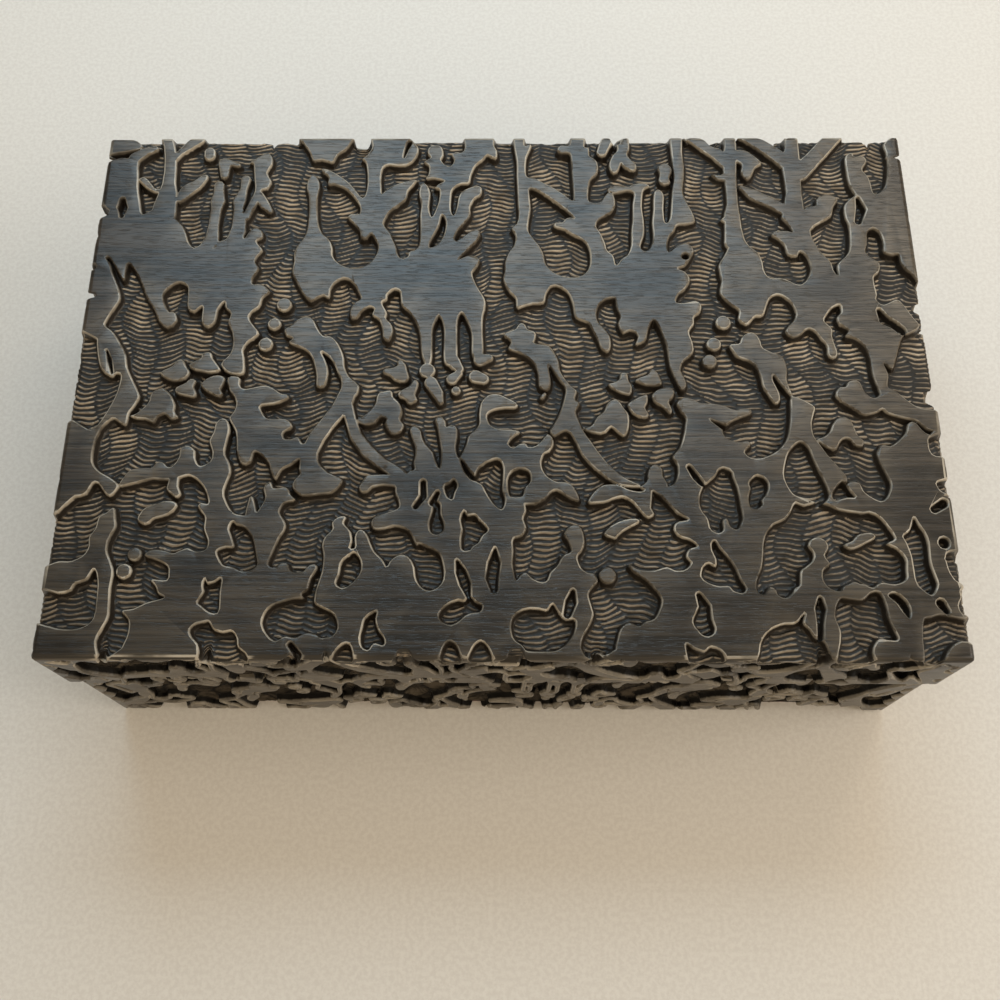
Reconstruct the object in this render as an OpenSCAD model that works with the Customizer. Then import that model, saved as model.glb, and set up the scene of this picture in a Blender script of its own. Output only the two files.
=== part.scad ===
// A carved wooden box with a hinged lid, in millimetres.
// The origin is the middle of the underside. +X runs to the right, +Y to the back and +Z up.
// The top and the front have the main hollows of their carving, sunk below the raised faces.

/* [Box] */
// Width of the lid across its carved ends
lid_w = 254; // [180:1:360]
// Depth of the lid from front to back
lid_d = 172; // [120:1:260]
// Overall height, standing on its felt
box_h = 77; // [65:0.5:120]
// Height of the lid with its top board
lid_h = 29; // [25:0.5:42]
// Gap between the closed lid and the base
seam_gap = 0.6; // [0.4:0.1:1]
// How far the lid stands out past the base on every side
lid_overhang = 1.5; // [0.5:0.1:2.5]

/* [Boards] */
// Thickness of the base's carved side boards
board_t = 12; // [11:0.5:16]
// Thickness of the carved top board
top_t = 9; // [6:0.5:12]
// Thickness of the bottom board
bottom_t = 5; // [3:0.5:8]
// Width of the ledge that holds the bottom board
ledge_w = 6; // [4:0.5:8]
// Clearance round the bottom board in its ledge
bottom_clear = 0.3; // [0.1:0.1:0.6]

/* [Carving] */
// Depth of the carving's ground below its raised faces
carve_depth = 2.6; // [1:0.1:3]

/* [Felt] */
// Thickness of the felt under the box
felt_t = 1.2; // [0.8:0.1:3]
// Distance of that felt from the base's edges
felt_inset = 3; // [1:0.5:10]
// Thickness of the felt linings
lining_t = 1.5; // [0.8:0.1:3]
// Clearance round the linings
lining_clear = 0.4; // [0.2:0.1:1]

/* [Hinges] */
// Length of each hinge along its pin
hinge_len = 25; // [20:1:40]
// Distance of each hinge from the end of the base
hinge_inset = 30; // [18:1:45]
// Depth of the hinge pin's middle behind the lid's back face
pin_inset = 4.2; // [3.5:0.1:5.5]
// Angle at which the bevelled back edges stop the lid
open_angle = 100; // [90:1:110]
// Width of each leaf from the pin's middle
leaf_w = 7; // [6:0.5:8]
// Thickness of each leaf
leaf_t = 1; // [0.8:0.1:1.4]
// Clearance round a leaf in its recess
leaf_clear = 0.1; // [0.05:0.05:0.3]
// Outer radius of the knuckles
knuckle_r = 2.2; // [1.9:0.1:2.6]
// Knuckles on each hinge, an odd number
knuckle_count = 5; // [3:2:7]
// Running gap beside each knuckle
knuckle_gap = 0.2; // [0.1:0.05:0.4]
// Room left in the wood round the knuckles
knuckle_room = 0.4; // [0.2:0.1:0.8]
// Radius of the hinge pins
pin_r = 1; // [0.8:0.05:1.2]
// Running clearance of the pins, on the radius
pin_clear = 0.05; // [0.02:0.01:0.1]
// Thickness of the pins' heads
pin_head_t = 0.6; // [0.4:0.1:1]

/* [Fasteners] */
// Length of the hinge screws
screw_len = 9; // [6:0.5:10]
// Radius of the hinge screws' shanks
screw_r = 1; // [0.8:0.1:1.2]
// Radius of the hinge screws' heads
screw_head_r = 1.9; // [1.6:0.1:2.2]
// Distance of each hinge screw from the leaf's end
screw_inset = 5; // [4:0.5:7]
// Clearance round the screws and nails, on the radius
hole_clear = 0.05; // [0.02:0.01:0.1]
// Length of the bottom board's nails
nail_len = 14; // [10:0.5:20]
// Radius of the nails' shanks
nail_r = 0.6; // [0.4:0.1:0.9]
// Radius of the nails' heads
nail_head_r = 1.2; // [1:0.1:1.8]
// Thickness of the nails' heads
nail_head_t = 0.6; // [0.4:0.1:1]
// Nails along each long side
long_nails = 3; // [2:1:6]
// Nails along each short side
short_nails = 2; // [2:1:4]

/* [Hidden] */
$fn = 48;
// How far a cutting shape runs past the face that it opens
cut = 1;
// Spare angle left between the bevelled back edges at the stop
stop_ease = 0.5;
// Width and depth of the driving slot in a screw's head
slot_w = 0.5;
slot_d = 0.4;
// Length of the point on a screw or nail
point_l = 2;

base_w = lid_w - 2 * lid_overhang;
base_d = lid_d - 2 * lid_overhang;
rail_t = board_t + lid_overhang;
inner_w = base_w - 2 * board_t;
inner_d = base_d - 2 * board_t;
base_top = box_h - lid_h - seam_gap;
base_board_h = base_top - felt_t;
lid_z = base_top + seam_gap;
rail_h = lid_h - top_t;
floor_z = felt_t + bottom_t;
pin_y = lid_d / 2 - pin_inset;
pin_z = base_top + seam_gap / 2;
hinge_x = base_w / 2 - hinge_inset - hinge_len / 2;
bevel_angle = open_angle / 2 + stop_ease;
knuckle_pitch = hinge_len / knuckle_count;
seat_len = hinge_len + 2 * (pin_head_t + knuckle_room);
leaf_face = seam_gap / 2;
screw_x = hinge_len / 2 - screw_inset;
screw_y = (knuckle_r + leaf_w) / 2;
nail_y = inner_d / 2 + ledge_w / 2;
nail_x = inner_w / 2 + ledge_w / 2;

// Main hollows of the carving, chosen by hand on a top of pattern_w by pattern_d. Each is an outline of points
// from the back left corner, x to the right and y to the front. Those that run past an edge open it.
pattern_w = 254;
pattern_d = 172;
hollow_outlines = [
    // first repeat, behind and under the long body
    [[11, 9], [14, 7], [18, 6], [19, 10], [19, 20], [17, 27], [14, 30], [12, 24]],
    [
        [31, -2], [47, -2], [47, 10], [48, 21], [46, 29], [46, 15], [44, 15], [44, 20], [42, 25],
        [42, 33], [41, 39], [39, 39], [39, 22], [38, 17], [36, 17], [35, 20], [35, 37], [33, 42],
        [30, 41], [25, 31], [25, 25], [29, 23], [33, 16], [32, 15], [25, 18], [24, 21], [23, 9]
    ],
    [
        [46, -2], [61, -2], [63, 3], [66, 9], [72, 10], [70, 13], [71, 17], [69, 20], [67, 15], [66, 15],
        [65, 20], [66, 37], [63, 42], [63, 51], [66, 58], [65, 66], [62, 74], [52, 74], [51, 67],
        [54, 62], [55, 57], [51, 55], [52, 50], [51, 39], [52, 36], [49, 35], [47, 38], [47, 33],
        [50, 25], [54, 28], [51, 20], [53, 17], [53, 8], [50, 7], [46, 9]
    ],
    [
        [12, 48], [15, 51], [19, 59], [23, 67], [26, 70], [28, 68], [28, 65], [24, 61], [25, 57],
        [29, 54], [31, 57], [31, 62], [34, 65], [36, 63], [36, 68], [38, 70], [40, 68], [41, 63],
        [43, 61], [45, 65], [46, 79], [44, 82], [46, 86], [49, 88], [49, 96], [48, 100], [44, 101],
        [43, 108], [44, 112], [42, 115], [40, 115], [38, 110], [36, 109], [32, 115], [28, 114], [26, 116],
        [21, 116], [18, 120], [10, 115], [9, 109], [10, 104], [13, 101], [18, 102], [20, 94], [19, 89],
        [13, 76], [7, 69], [11, 58]
    ],
    [
        [-2, 71], [5, 74], [8, 84], [11, 86], [14, 85], [14, 90], [12, 97], [9, 102], [7, 104], [4, 101],
        [-2, 100]
    ],
    // between the first and second repeat
    [
        [51, 72], [63, 68], [63, 75], [71, 81], [72, 90], [75, 90], [74, 79], [77, 84], [80, 90],
        [78, 95], [71, 105], [70, 108], [68, 106], [64, 107], [63, 104], [66, 103], [65, 100], [59, 100],
        [56, 96], [63, 95], [64, 93], [60, 90], [53, 91], [50, 90], [50, 78]
    ],
    [
        [-2, 129], [3, 128], [9, 124], [11, 120], [15, 125], [18, 122], [25, 119], [32, 120], [32, 123],
        [35, 125], [36, 119], [40, 119], [43, 123], [44, 132], [45, 140], [36, 141], [27, 141], [35, 145],
        [35, 149], [31, 150], [34, 154], [26, 158], [26, 164], [25, 168], [21, 174], [19, 174], [18, 167],
        [20, 160], [20, 150], [17, 139], [19, 131], [17, 128], [14, 130], [11, 140], [9, 144], [-2, 146]
    ],
    [[-2, 152], [5, 153], [9, 151], [15, 147], [16, 159], [14, 163], [10, 164], [-2, 162]],
    [
        [46, 100], [49, 104], [53, 115], [57, 111], [60, 113], [62, 119], [65, 116], [69, 113], [69, 117],
        [66, 121], [61, 121], [60, 126], [58, 129], [56, 125], [55, 130], [51, 129], [49, 125], [50, 117],
        [47, 110]
    ],
    [[51, 133], [55, 134], [58, 139], [59, 144], [56, 147], [52, 146], [48, 141], [52, 140]],
    [[45, 150], [50, 149], [50, 158], [47, 158], [44, 155]],
    [[43, 163], [45, 161], [48, 161], [50, 164], [55, 164], [57, 168], [60, 174], [46, 174], [45, 168]],
    // second repeat
    [
        [68, 11], [74, 8], [79, 2], [80, -2], [85, -2], [85, 5], [83, 9], [84, 14], [84, 22], [82, 23],
        [77, 16]
    ],
    [
        [69, 19], [71, 16], [77, 20], [81, 25], [82, 30], [79, 31], [84, 38], [86, 37], [88, 40],
        [88, 44], [86, 48], [82, 49], [78, 48], [75, 45], [74, 41], [71, 37], [69, 31]
    ],
    [
        [89, 11], [96, 11], [99, 9], [100, 4], [99, -2], [115, -2], [115, 6], [111, 7], [110, 11],
        [108, 11], [108, 4], [103, 4], [103, 9], [101, 19], [101, 43], [96, 46], [93, 38], [90, 33],
        [92, 29], [96, 25], [97, 19], [90, 19], [89, 22]
    ],
    [
        [124, -2], [130, -2], [131, 5], [131, 30], [130, 35], [131, 39], [128, 46], [127, 52], [131, 63],
        [129, 72], [120, 74], [121, 60], [118, 50], [120, 47], [116, 44], [120, 39], [120, 36], [117, 36],
        [112, 39], [116, 31], [117, 26], [120, 23], [120, 20], [117, 20], [113, 23], [112, 30], [110, 30],
        [110, 22], [113, 19], [117, 18], [118, 12], [122, 7], [124, 9]
    ],
    [
        [64, 62], [66, 58], [69, 61], [75, 59], [75, 56], [79, 53], [82, 56], [84, 60], [81, 62],
        [81, 66], [83, 67], [85, 64], [88, 63], [92, 73], [94, 73], [92, 60], [94, 57], [96, 58],
        [97, 63], [102, 72], [105, 84], [103, 88], [108, 96], [108, 114], [102, 103], [100, 104],
        [101, 115], [98, 117], [89, 106], [84, 95], [84, 89], [80, 84], [79, 78], [76, 74], [72, 73],
        [70, 67], [66, 66]
    ],
    [[106, 72], [107, 66], [109, 69], [110, 80], [107, 83], [106, 80]],
    [[114, 68], [115, 65], [117, 70], [118, 79], [115, 84], [113, 80]],
    [
        [108, 90], [116, 83], [120, 83], [121, 72], [129, 70], [130, 78], [138, 84], [138, 90], [141, 90],
        [141, 85], [144, 87], [146, 91], [145, 96], [138, 108], [130, 109], [129, 106], [132, 104],
        [127, 104], [123, 101], [123, 98], [131, 97], [131, 94], [127, 93], [123, 93], [121, 101],
        [117, 105], [115, 112], [113, 102], [110, 102]
    ],
    [
        [65, 126], [70, 124], [79, 124], [82, 121], [96, 121], [98, 128], [90, 133], [97, 134],
        [101, 135], [103, 139], [107, 139], [111, 144], [111, 150], [108, 152], [104, 150], [103, 144],
        [99, 142], [96, 145], [90, 136], [86, 140], [82, 131], [77, 138], [78, 146], [76, 155], [82, 158],
        [82, 163], [79, 166], [75, 164], [66, 167], [62, 162], [63, 158], [72, 154], [75, 145], [70, 147],
        [68, 145], [63, 145], [66, 135]
    ],
    [[80, 100], [86, 109], [91, 115], [95, 118], [86, 119], [77, 115], [75, 112], [75, 108]],
    [[83, 142], [87, 143], [88, 146], [86, 150], [83, 152], [81, 150]],
    [[90, 160], [93, 158], [93, 163], [95, 167], [90, 169], [89, 165]],
    [[116, 130], [120, 130], [123, 134], [120, 138], [118, 141], [116, 140]],
    [[110, 159], [112, 156], [117, 154], [122, 158], [117, 159], [114, 162]],
    [[119, 119], [121, 115], [125, 113], [127, 116], [128, 127], [126, 128], [122, 122]],
    [[129, 118], [131, 116], [135, 117], [135, 121], [133, 125], [130, 125]],
    [[124, 141], [126, 140], [127, 148], [126, 152], [124, 152], [123, 147]],
    [
        [130, 160], [133, 158], [139, 158], [141, 156], [147, 162], [147, 165], [143, 169], [133, 168],
        [130, 164]
    ],
    // third repeat
    [
        [134, -2], [148, -2], [148, 3], [144, 4], [145, 6], [148, 7], [149, 24], [146, 22], [141, 18],
        [135, 16]
    ],
    [
        [135, 20], [139, 23], [149, 32], [143, 33], [143, 35], [150, 39], [153, 43], [153, 49], [151, 52],
        [146, 53], [141, 50], [140, 45], [135, 35]
    ],
    [
        [153, -2], [159, -2], [157, 7], [161, 8], [161, 14], [169, 14], [167, 6], [168, -2], [180, -2],
        [181, 8], [180, 18], [173, 18], [160, 20], [156, 26], [154, 25], [154, 18], [157, 12], [155, 8]
    ],
    [[162, 22], [168, 22], [167, 43], [162, 48], [157, 37], [156, 34], [162, 28]],
    [[171, 20], [174, 21], [174, 38], [172, 43], [170, 43]],
    [
        [184, -2], [186, -2], [190, 5], [197, 11], [197, 27], [195, 32], [196, 41], [193, 48], [193, 58],
        [198, 64], [198, 69], [195, 78], [182, 86], [184, 78], [183, 73], [187, 64], [186, 61], [180, 61],
        [184, 54], [180, 50], [185, 46], [186, 42], [183, 40], [178, 42], [181, 34], [187, 31], [184, 22]
    ],
    [
        [131, 62], [139, 62], [142, 56], [146, 58], [149, 67], [153, 69], [157, 78], [159, 77], [155, 64],
        [158, 60], [161, 60], [162, 71], [167, 72], [168, 76], [172, 67], [176, 76], [176, 81], [180, 92],
        [178, 95], [180, 99], [179, 106], [176, 111], [177, 117], [174, 120], [172, 114], [169, 115],
        [168, 119], [164, 120], [158, 116], [153, 109], [150, 103], [149, 92], [145, 86], [143, 80],
        [137, 75], [136, 71], [133, 69], [127, 71]
    ],
    [[145, 104], [148, 106], [151, 113], [158, 120], [147, 122], [139, 117], [138, 112], [142, 107]],
    [
        [182, 80], [195, 76], [200, 82], [205, 94], [208, 94], [211, 95], [210, 105], [206, 109],
        [200, 113], [197, 111], [199, 108], [192, 106], [188, 101], [197, 100], [200, 98], [187, 95],
        [182, 93], [180, 90]
    ],
    [
        [134, 127], [141, 123], [145, 126], [162, 125], [167, 131], [169, 123], [178, 131], [175, 134],
        [181, 139], [178, 145], [164, 147], [170, 153], [170, 157], [167, 161], [161, 162], [158, 169],
        [154, 172], [150, 171], [148, 168], [152, 160], [151, 153], [153, 150], [149, 145], [148, 141],
        [150, 137], [147, 133], [145, 135], [146, 141], [139, 150], [132, 148], [130, 145], [131, 137]
    ],
    [
        [184, 122], [187, 119], [190, 116], [192, 118], [194, 131], [192, 134], [189, 131], [189, 135],
        [186, 135], [183, 129]
    ],
    [[197, 122], [199, 118], [202, 119], [200, 127], [197, 128]],
    [[185, 138], [187, 139], [193, 152], [191, 153], [183, 150], [182, 147], [185, 145]],
    [[177, 174], [177, 167], [180, 169], [184, 168], [187, 174]],
    // fourth repeat
    [
        [201, 6], [203, -2], [205, -2], [216, 12], [216, 25], [205, 21], [201, 19], [204, 17], [206, 13],
        [209, 11], [206, 7]
    ],
    [
        [201, 22], [204, 25], [214, 29], [216, 35], [210, 37], [213, 40], [214, 44], [219, 44], [221, 47],
        [220, 52], [217, 55], [208, 53], [207, 47], [201, 38]
    ],
    [
        [221, 17], [225, 15], [237, -2], [249, -2], [249, 15], [246, 21], [243, 22], [241, 14], [242, 9],
        [237, 7], [235, 9], [236, 23], [234, 27], [234, 43], [229, 52], [222, 36], [229, 31], [231, 24],
        [227, 23], [225, 27], [221, 28]
    ],
    [[221, -2], [230, -2], [221, 9]],
    [
        [240, 36], [243, 36], [244, 44], [249, 45], [256, 54], [256, 97], [249, 97], [240, 89], [242, 83],
        [247, 72], [252, 70], [248, 63], [245, 61], [240, 62], [240, 53], [242, 49], [239, 44]
    ],
    [
        [200, 69], [205, 66], [210, 59], [214, 61], [215, 65], [212, 72], [215, 73], [220, 71], [224, 80],
        [226, 79], [223, 67], [228, 62], [230, 71], [236, 80], [236, 92], [234, 93], [231, 88], [228, 88],
        [225, 91], [225, 94], [231, 99], [238, 98], [244, 103], [241, 108], [235, 109], [237, 120],
        [235, 125], [231, 124], [222, 113], [217, 107], [216, 100], [218, 97], [212, 93], [210, 80],
        [205, 78]
    ],
    [[210, 109], [212, 107], [215, 109], [219, 123], [218, 125], [213, 125], [208, 120], [207, 115]],
    [
        [208, 129], [210, 126], [218, 126], [222, 129], [231, 129], [236, 137], [234, 139], [238, 142],
        [238, 149], [235, 150], [219, 152], [216, 150], [217, 138], [213, 137], [213, 143], [206, 154],
        [199, 153], [197, 151], [200, 136], [203, 132]
    ],
    [[241, 136], [242, 130], [245, 135], [246, 150], [244, 153], [241, 150], [240, 140]],
    [[194, 174], [196, 167], [201, 162], [209, 162], [214, 169], [215, 174]],
    [
        [218, 156], [219, 154], [225, 155], [228, 152], [231, 153], [234, 165], [229, 166], [226, 169],
        [226, 174], [217, 174], [219, 166]
    ],
    [[241, 160], [256, 160], [256, 167], [250, 167], [246, 170], [245, 174], [240, 174], [240, 164]]
];

// Lines of the pattern, from the back, that meet the upper edges of the lid's front rail and the base's front
rail_line = 107;
base_line = 62;

wood_colour = "#3b3129";
plain_wood_colour = "#5a4635";
felt_colour = "#5b2426";
brass_colour = "#a98a4e";
steel_colour = "#8d8f92";

// One side of a mitred frame, with its outer face across the given width and turned about Z
module mitred_side(turn, across, length, thickness, height) {
    rotate([0, 0, turn])
        translate([0, -across / 2, 0])
            linear_extrude(height)
                polygon([
                    [-length / 2, 0],
                    [length / 2, 0],
                    [length / 2 - thickness, thickness],
                    [-length / 2 + thickness, thickness]
                ]);
}

// A block centred on Z, standing on the given height
module centred_block(width, depth, height, z) {
    translate([-width / 2, -depth / 2, z]) cube([width, depth, height]);
}

// The main hollows that reach between two lines of the pattern, sunk below Z = 0
module hollows(from_y = 0, to_y = pattern_d) {
    for (outline = hollow_outlines)
        if (max([for (p = outline) p.y]) > from_y && min([for (p = outline) p.y]) < to_y)
            translate([0, 0, -carve_depth])
                linear_extrude(carve_depth + cut)
                    polygon([
                        for (p = outline) [(p.x / pattern_w - 0.5) * lid_w, (0.5 - p.y / pattern_d) * lid_d]
                    ]);
}

// The hollows on a front face whose upper edge, at top_z, lies on the given line of the pattern
module front_hollows(across, top_z, height, line) {
    translate([0, -across / 2, top_z + (line / pattern_d - 0.5) * lid_d])
        rotate([90, 0, 0])
            hollows(line, line + height * pattern_d / lid_d);
}

// Moves from a hinge's own frame, with its pin along X, to its place on the box
module at_hinge(side) {
    translate([side * hinge_x, pin_y, pin_z]) children();
}

// Children drawn for the lid's half of a hinge, turned over for the base's half
module hinge_half(of_lid) {
    mirror([0, 0, of_lid ? 0 : 1]) children();
}

module at_hinge_screws() {
    for (end = [-1, 1]) translate([end * screw_x, -screw_y, leaf_face]) children();
}

// The wedge cut from the back edge of the lid or base, from the pin's line outwards
module back_bevel(of_lid) {
    reach = pin_inset + cut;
    translate([0, pin_y, pin_z])
        hinge_half(of_lid)
            rotate([90, 0, 90])
                linear_extrude(lid_w + 2 * cut, center = true)
                    polygon([
                        [0, leaf_face - cut],
                        [reach, leaf_face - cut],
                        [reach, leaf_face + reach * tan(bevel_angle)],
                        [0, leaf_face]
                    ]);
}

// What is cut from the wood for one leaf, the knuckles and the screws, in the hinge's frame
module leaf_seat() {
    translate([-hinge_len / 2 - leaf_clear, -leaf_w - leaf_clear, leaf_face - cut])
        cube([hinge_len + 2 * leaf_clear, leaf_w + leaf_clear, leaf_t + cut]);
    rotate([0, 90, 0]) cylinder(r = knuckle_r + knuckle_room, h = seat_len, center = true);
    at_hinge_screws() cylinder(r = screw_r + hole_clear, h = screw_len + hole_clear);
}

module hinge_seats(of_lid) {
    for (side = [-1, 1]) at_hinge(side) hinge_half(of_lid) leaf_seat();
}

// One leaf with every second knuckle, in the hinge's frame, drawn on the lid's side
module leaf(first_knuckle) {
    plate_w = leaf_w - knuckle_r - knuckle_gap;
    knuckle_l = knuckle_pitch - knuckle_gap;
    difference() {
        union() {
            translate([-hinge_len / 2, -leaf_w, leaf_face]) cube([hinge_len, plate_w, leaf_t]);
            for (k = [first_knuckle : 2 : knuckle_count - 1])
                translate([-hinge_len / 2 + k * knuckle_pitch + knuckle_gap / 2, 0, 0]) {
                    rotate([0, 90, 0]) cylinder(r = knuckle_r, h = knuckle_l);
                    translate([0, -leaf_w + plate_w / 2, leaf_face])
                        cube([knuckle_l, leaf_w - plate_w / 2, leaf_t]);
                }
        }
        rotate([0, 90, 0]) cylinder(r = pin_r + pin_clear, h = hinge_len + 2 * cut, center = true);
        at_hinge_screws() screw_hole();
    }
}

// A countersunk hole through a leaf whose face is at Z = 0
module screw_hole() {
    slope = (screw_head_r - screw_r) / leaf_t;
    translate([0, 0, -cut])
        cylinder(
            r1 = screw_head_r + hole_clear + slope * cut,
            r2 = screw_r + hole_clear - slope * cut,
            h = leaf_t + 2 * cut
        );
    cylinder(r = screw_r + hole_clear, h = leaf_t + cut);
}

// A countersunk screw with its head's face at Z = 0 and its point towards +Z
module hinge_screw() {
    difference() {
        union() {
            cylinder(r1 = screw_head_r, r2 = screw_r, h = leaf_t);
            translate([0, 0, leaf_t]) cylinder(r = screw_r, h = screw_len - leaf_t - point_l);
            translate([0, 0, screw_len - point_l]) cylinder(r1 = screw_r, r2 = screw_r / 4, h = point_l);
        }
        translate([-screw_head_r - cut, -slot_w / 2, -cut])
            cube([2 * (screw_head_r + cut), slot_w, slot_d + cut]);
    }
}

module hinge_screws(of_lid) {
    color(brass_colour)
        for (side = [-1, 1]) at_hinge(side) hinge_half(of_lid) at_hinge_screws() hinge_screw();
}

module hinge_leaf(side, of_lid) {
    color(brass_colour) at_hinge(side) hinge_half(of_lid) leaf(of_lid ? 1 : 0);
}

// The pin runs through every knuckle and has a flat head at each end
module hinge_pin(side) {
    head_r = (pin_r + knuckle_r) / 2;
    color(brass_colour)
        at_hinge(side) {
            rotate([0, 90, 0]) cylinder(r = pin_r, h = hinge_len, center = true);
            for (end = [0, 1])
                mirror([end, 0, 0])
                    translate([hinge_len / 2, 0, 0]) rotate([0, 90, 0]) cylinder(r = head_r, h = pin_head_t);
        }
}

// Places along the ledge, evenly spaced on each side and clear of the corners
module at_nails() {
    for (i = [0 : long_nails - 1], side = [-1, 1])
        translate([inner_w * ((i + 0.5) / long_nails - 0.5), side * nail_y, felt_t]) children();
    for (i = [0 : short_nails - 1], side = [-1, 1])
        translate([side * nail_x, inner_d * ((i + 0.5) / short_nails - 0.5), felt_t]) children();
}

// A nail from the underside, or its hole when a clearance is given
module nail(clear) {
    cylinder(r = nail_head_r + clear, h = nail_head_t + clear);
    cylinder(r = nail_r + clear, h = nail_len - point_l);
    translate([0, 0, nail_len - point_l])
        cylinder(r1 = nail_r + clear, r2 = nail_r / 4 + clear, h = point_l + clear);
}

module nail_holes() {
    at_nails() {
        nail(hole_clear);
        translate([0, 0, -cut]) cylinder(r = nail_head_r + hole_clear, h = cut + nail_head_t / 2);
    }
}

// Space that the bottom board is let into
module bottom_ledge() {
    centred_block(inner_w + 2 * ledge_w, inner_d + 2 * ledge_w, bottom_t + cut, felt_t - cut);
}

// A side of the base; what follows it is cut away too
module base_side(turn, across, length) {
    color(wood_colour)
        difference() {
            translate([0, 0, felt_t]) mitred_side(turn, across, length, board_t, base_board_h);
            bottom_ledge();
            nail_holes();
            back_bevel(false);
            hinge_seats(false);
            children();
        }
}

// A side of the lid; what follows it is cut away too
module lid_side(turn, across, length) {
    color(wood_colour)
        difference() {
            translate([0, 0, lid_z]) mitred_side(turn, across, length, rail_t, rail_h);
            back_bevel(true);
            hinge_seats(true);
            children();
        }
}

module lid_top_board() {
    color(wood_colour)
        difference() {
            centred_block(lid_w, lid_d, top_t, lid_z + rail_h);
            translate([0, 0, box_h]) hollows();
        }
}

module lid_front_rail() {
    lid_side(0, lid_d, lid_w) front_hollows(lid_d, lid_z + rail_h, rail_h, rail_line);
}

// The base's front shows the pattern the other way round
module base_front_board() {
    base_side(0, base_d, base_w)
        mirror([1, 0, 0]) front_hollows(base_d, base_top, base_board_h, base_line);
}

module lid_lining() {
    width = lid_w - 2 * (rail_t + lining_clear);
    depth = lid_d - 2 * (rail_t + lining_clear);
    color(felt_colour) centred_block(width, depth, lining_t, lid_z + rail_h - lining_t);
}

module base_bottom_board() {
    width = inner_w + 2 * (ledge_w - bottom_clear);
    depth = inner_d + 2 * (ledge_w - bottom_clear);
    color(plain_wood_colour)
        difference() {
            centred_block(width, depth, bottom_t, felt_t);
            nail_holes();
        }
}

module base_lining() {
    color(felt_colour)
        centred_block(inner_w - 2 * lining_clear, inner_d - 2 * lining_clear, lining_t, floor_z);
}

module base_felt() {
    color(felt_colour) centred_block(base_w - 2 * felt_inset, base_d - 2 * felt_inset, felt_t, 0);
}

module bottom_nails() {
    color(steel_colour) at_nails() nail(0);
}

lid_top_board();
lid_front_rail();
lid_side(180, lid_d, lid_w);  // lid_back_rail
lid_side(270, lid_w, lid_d);  // lid_left_rail
lid_side(90, lid_w, lid_d);  // lid_right_rail
lid_lining();
base_front_board();
base_side(180, base_d, base_w);  // base_back_board
base_side(270, base_w, base_d);  // base_left_board
base_side(90, base_w, base_d);  // base_right_board
base_bottom_board();
base_lining();
base_felt();
bottom_nails();
hinge_leaf(-1, false);  // left_hinge_base_leaf
hinge_leaf(-1, true);  // left_hinge_lid_leaf
hinge_pin(-1);  // left_hinge_pin
hinge_leaf(1, false);  // right_hinge_base_leaf
hinge_leaf(1, true);  // right_hinge_lid_leaf
hinge_pin(1);  // right_hinge_pin
hinge_screws(false);  // hinge_base_screws
hinge_screws(true);  // hinge_lid_screws
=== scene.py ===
import math

import bmesh
import bpy
import numpy as np
from mathutils import Matrix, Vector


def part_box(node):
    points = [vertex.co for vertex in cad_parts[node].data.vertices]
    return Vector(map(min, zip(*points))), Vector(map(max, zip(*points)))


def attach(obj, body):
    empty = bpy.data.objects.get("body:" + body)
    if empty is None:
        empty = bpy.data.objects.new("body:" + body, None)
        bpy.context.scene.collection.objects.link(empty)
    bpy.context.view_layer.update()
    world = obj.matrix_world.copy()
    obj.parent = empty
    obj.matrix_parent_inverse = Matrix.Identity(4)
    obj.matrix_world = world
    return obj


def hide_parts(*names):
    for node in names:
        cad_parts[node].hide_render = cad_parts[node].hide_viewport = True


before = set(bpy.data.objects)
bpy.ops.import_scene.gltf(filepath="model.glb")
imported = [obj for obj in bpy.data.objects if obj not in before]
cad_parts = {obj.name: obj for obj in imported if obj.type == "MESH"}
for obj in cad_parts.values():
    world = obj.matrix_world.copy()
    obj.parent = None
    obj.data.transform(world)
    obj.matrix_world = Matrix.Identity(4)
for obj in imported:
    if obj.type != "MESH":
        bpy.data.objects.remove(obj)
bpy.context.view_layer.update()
print("stage: CAD loaded")

# Lengths are in millimetres up to the moment a mesh is made.
mm = 0.001


def boxInMm(node):
    # Lower and upper corner of a CAD node.
    low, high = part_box(node)
    return np.array(low) / mm, np.array(high) / mm


topLow, topHigh = boxInMm("lid_top_board")
baseLow, baseHigh = boxInMm("base_front_board")
baseHigh[1] = boxInMm("base_back_board")[1][1]
lidWide, lidDeep = (topHigh - topLow)[:2]
baseWide, baseDeep = (baseHigh - baseLow)[:2]


# The carving of the top, given shape by shape. Each word is one point in millimetres from the back left
# corner,
# x to the right and y to the front: x,y on a closed outline, or x,y,half width along a stroke. Shapes are
# laid down in order.
def pointsOf(words):
    # Points of one shape, as lists of numbers.
    return [[float(n) for n in word.split(",")] for word in words.split()]


def raised(words):
    # A shape that adds wood.
    return 1, pointsOf(words)


def hollow(words):
    # A shape that takes wood away.
    return -1, pointsOf(words)


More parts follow.
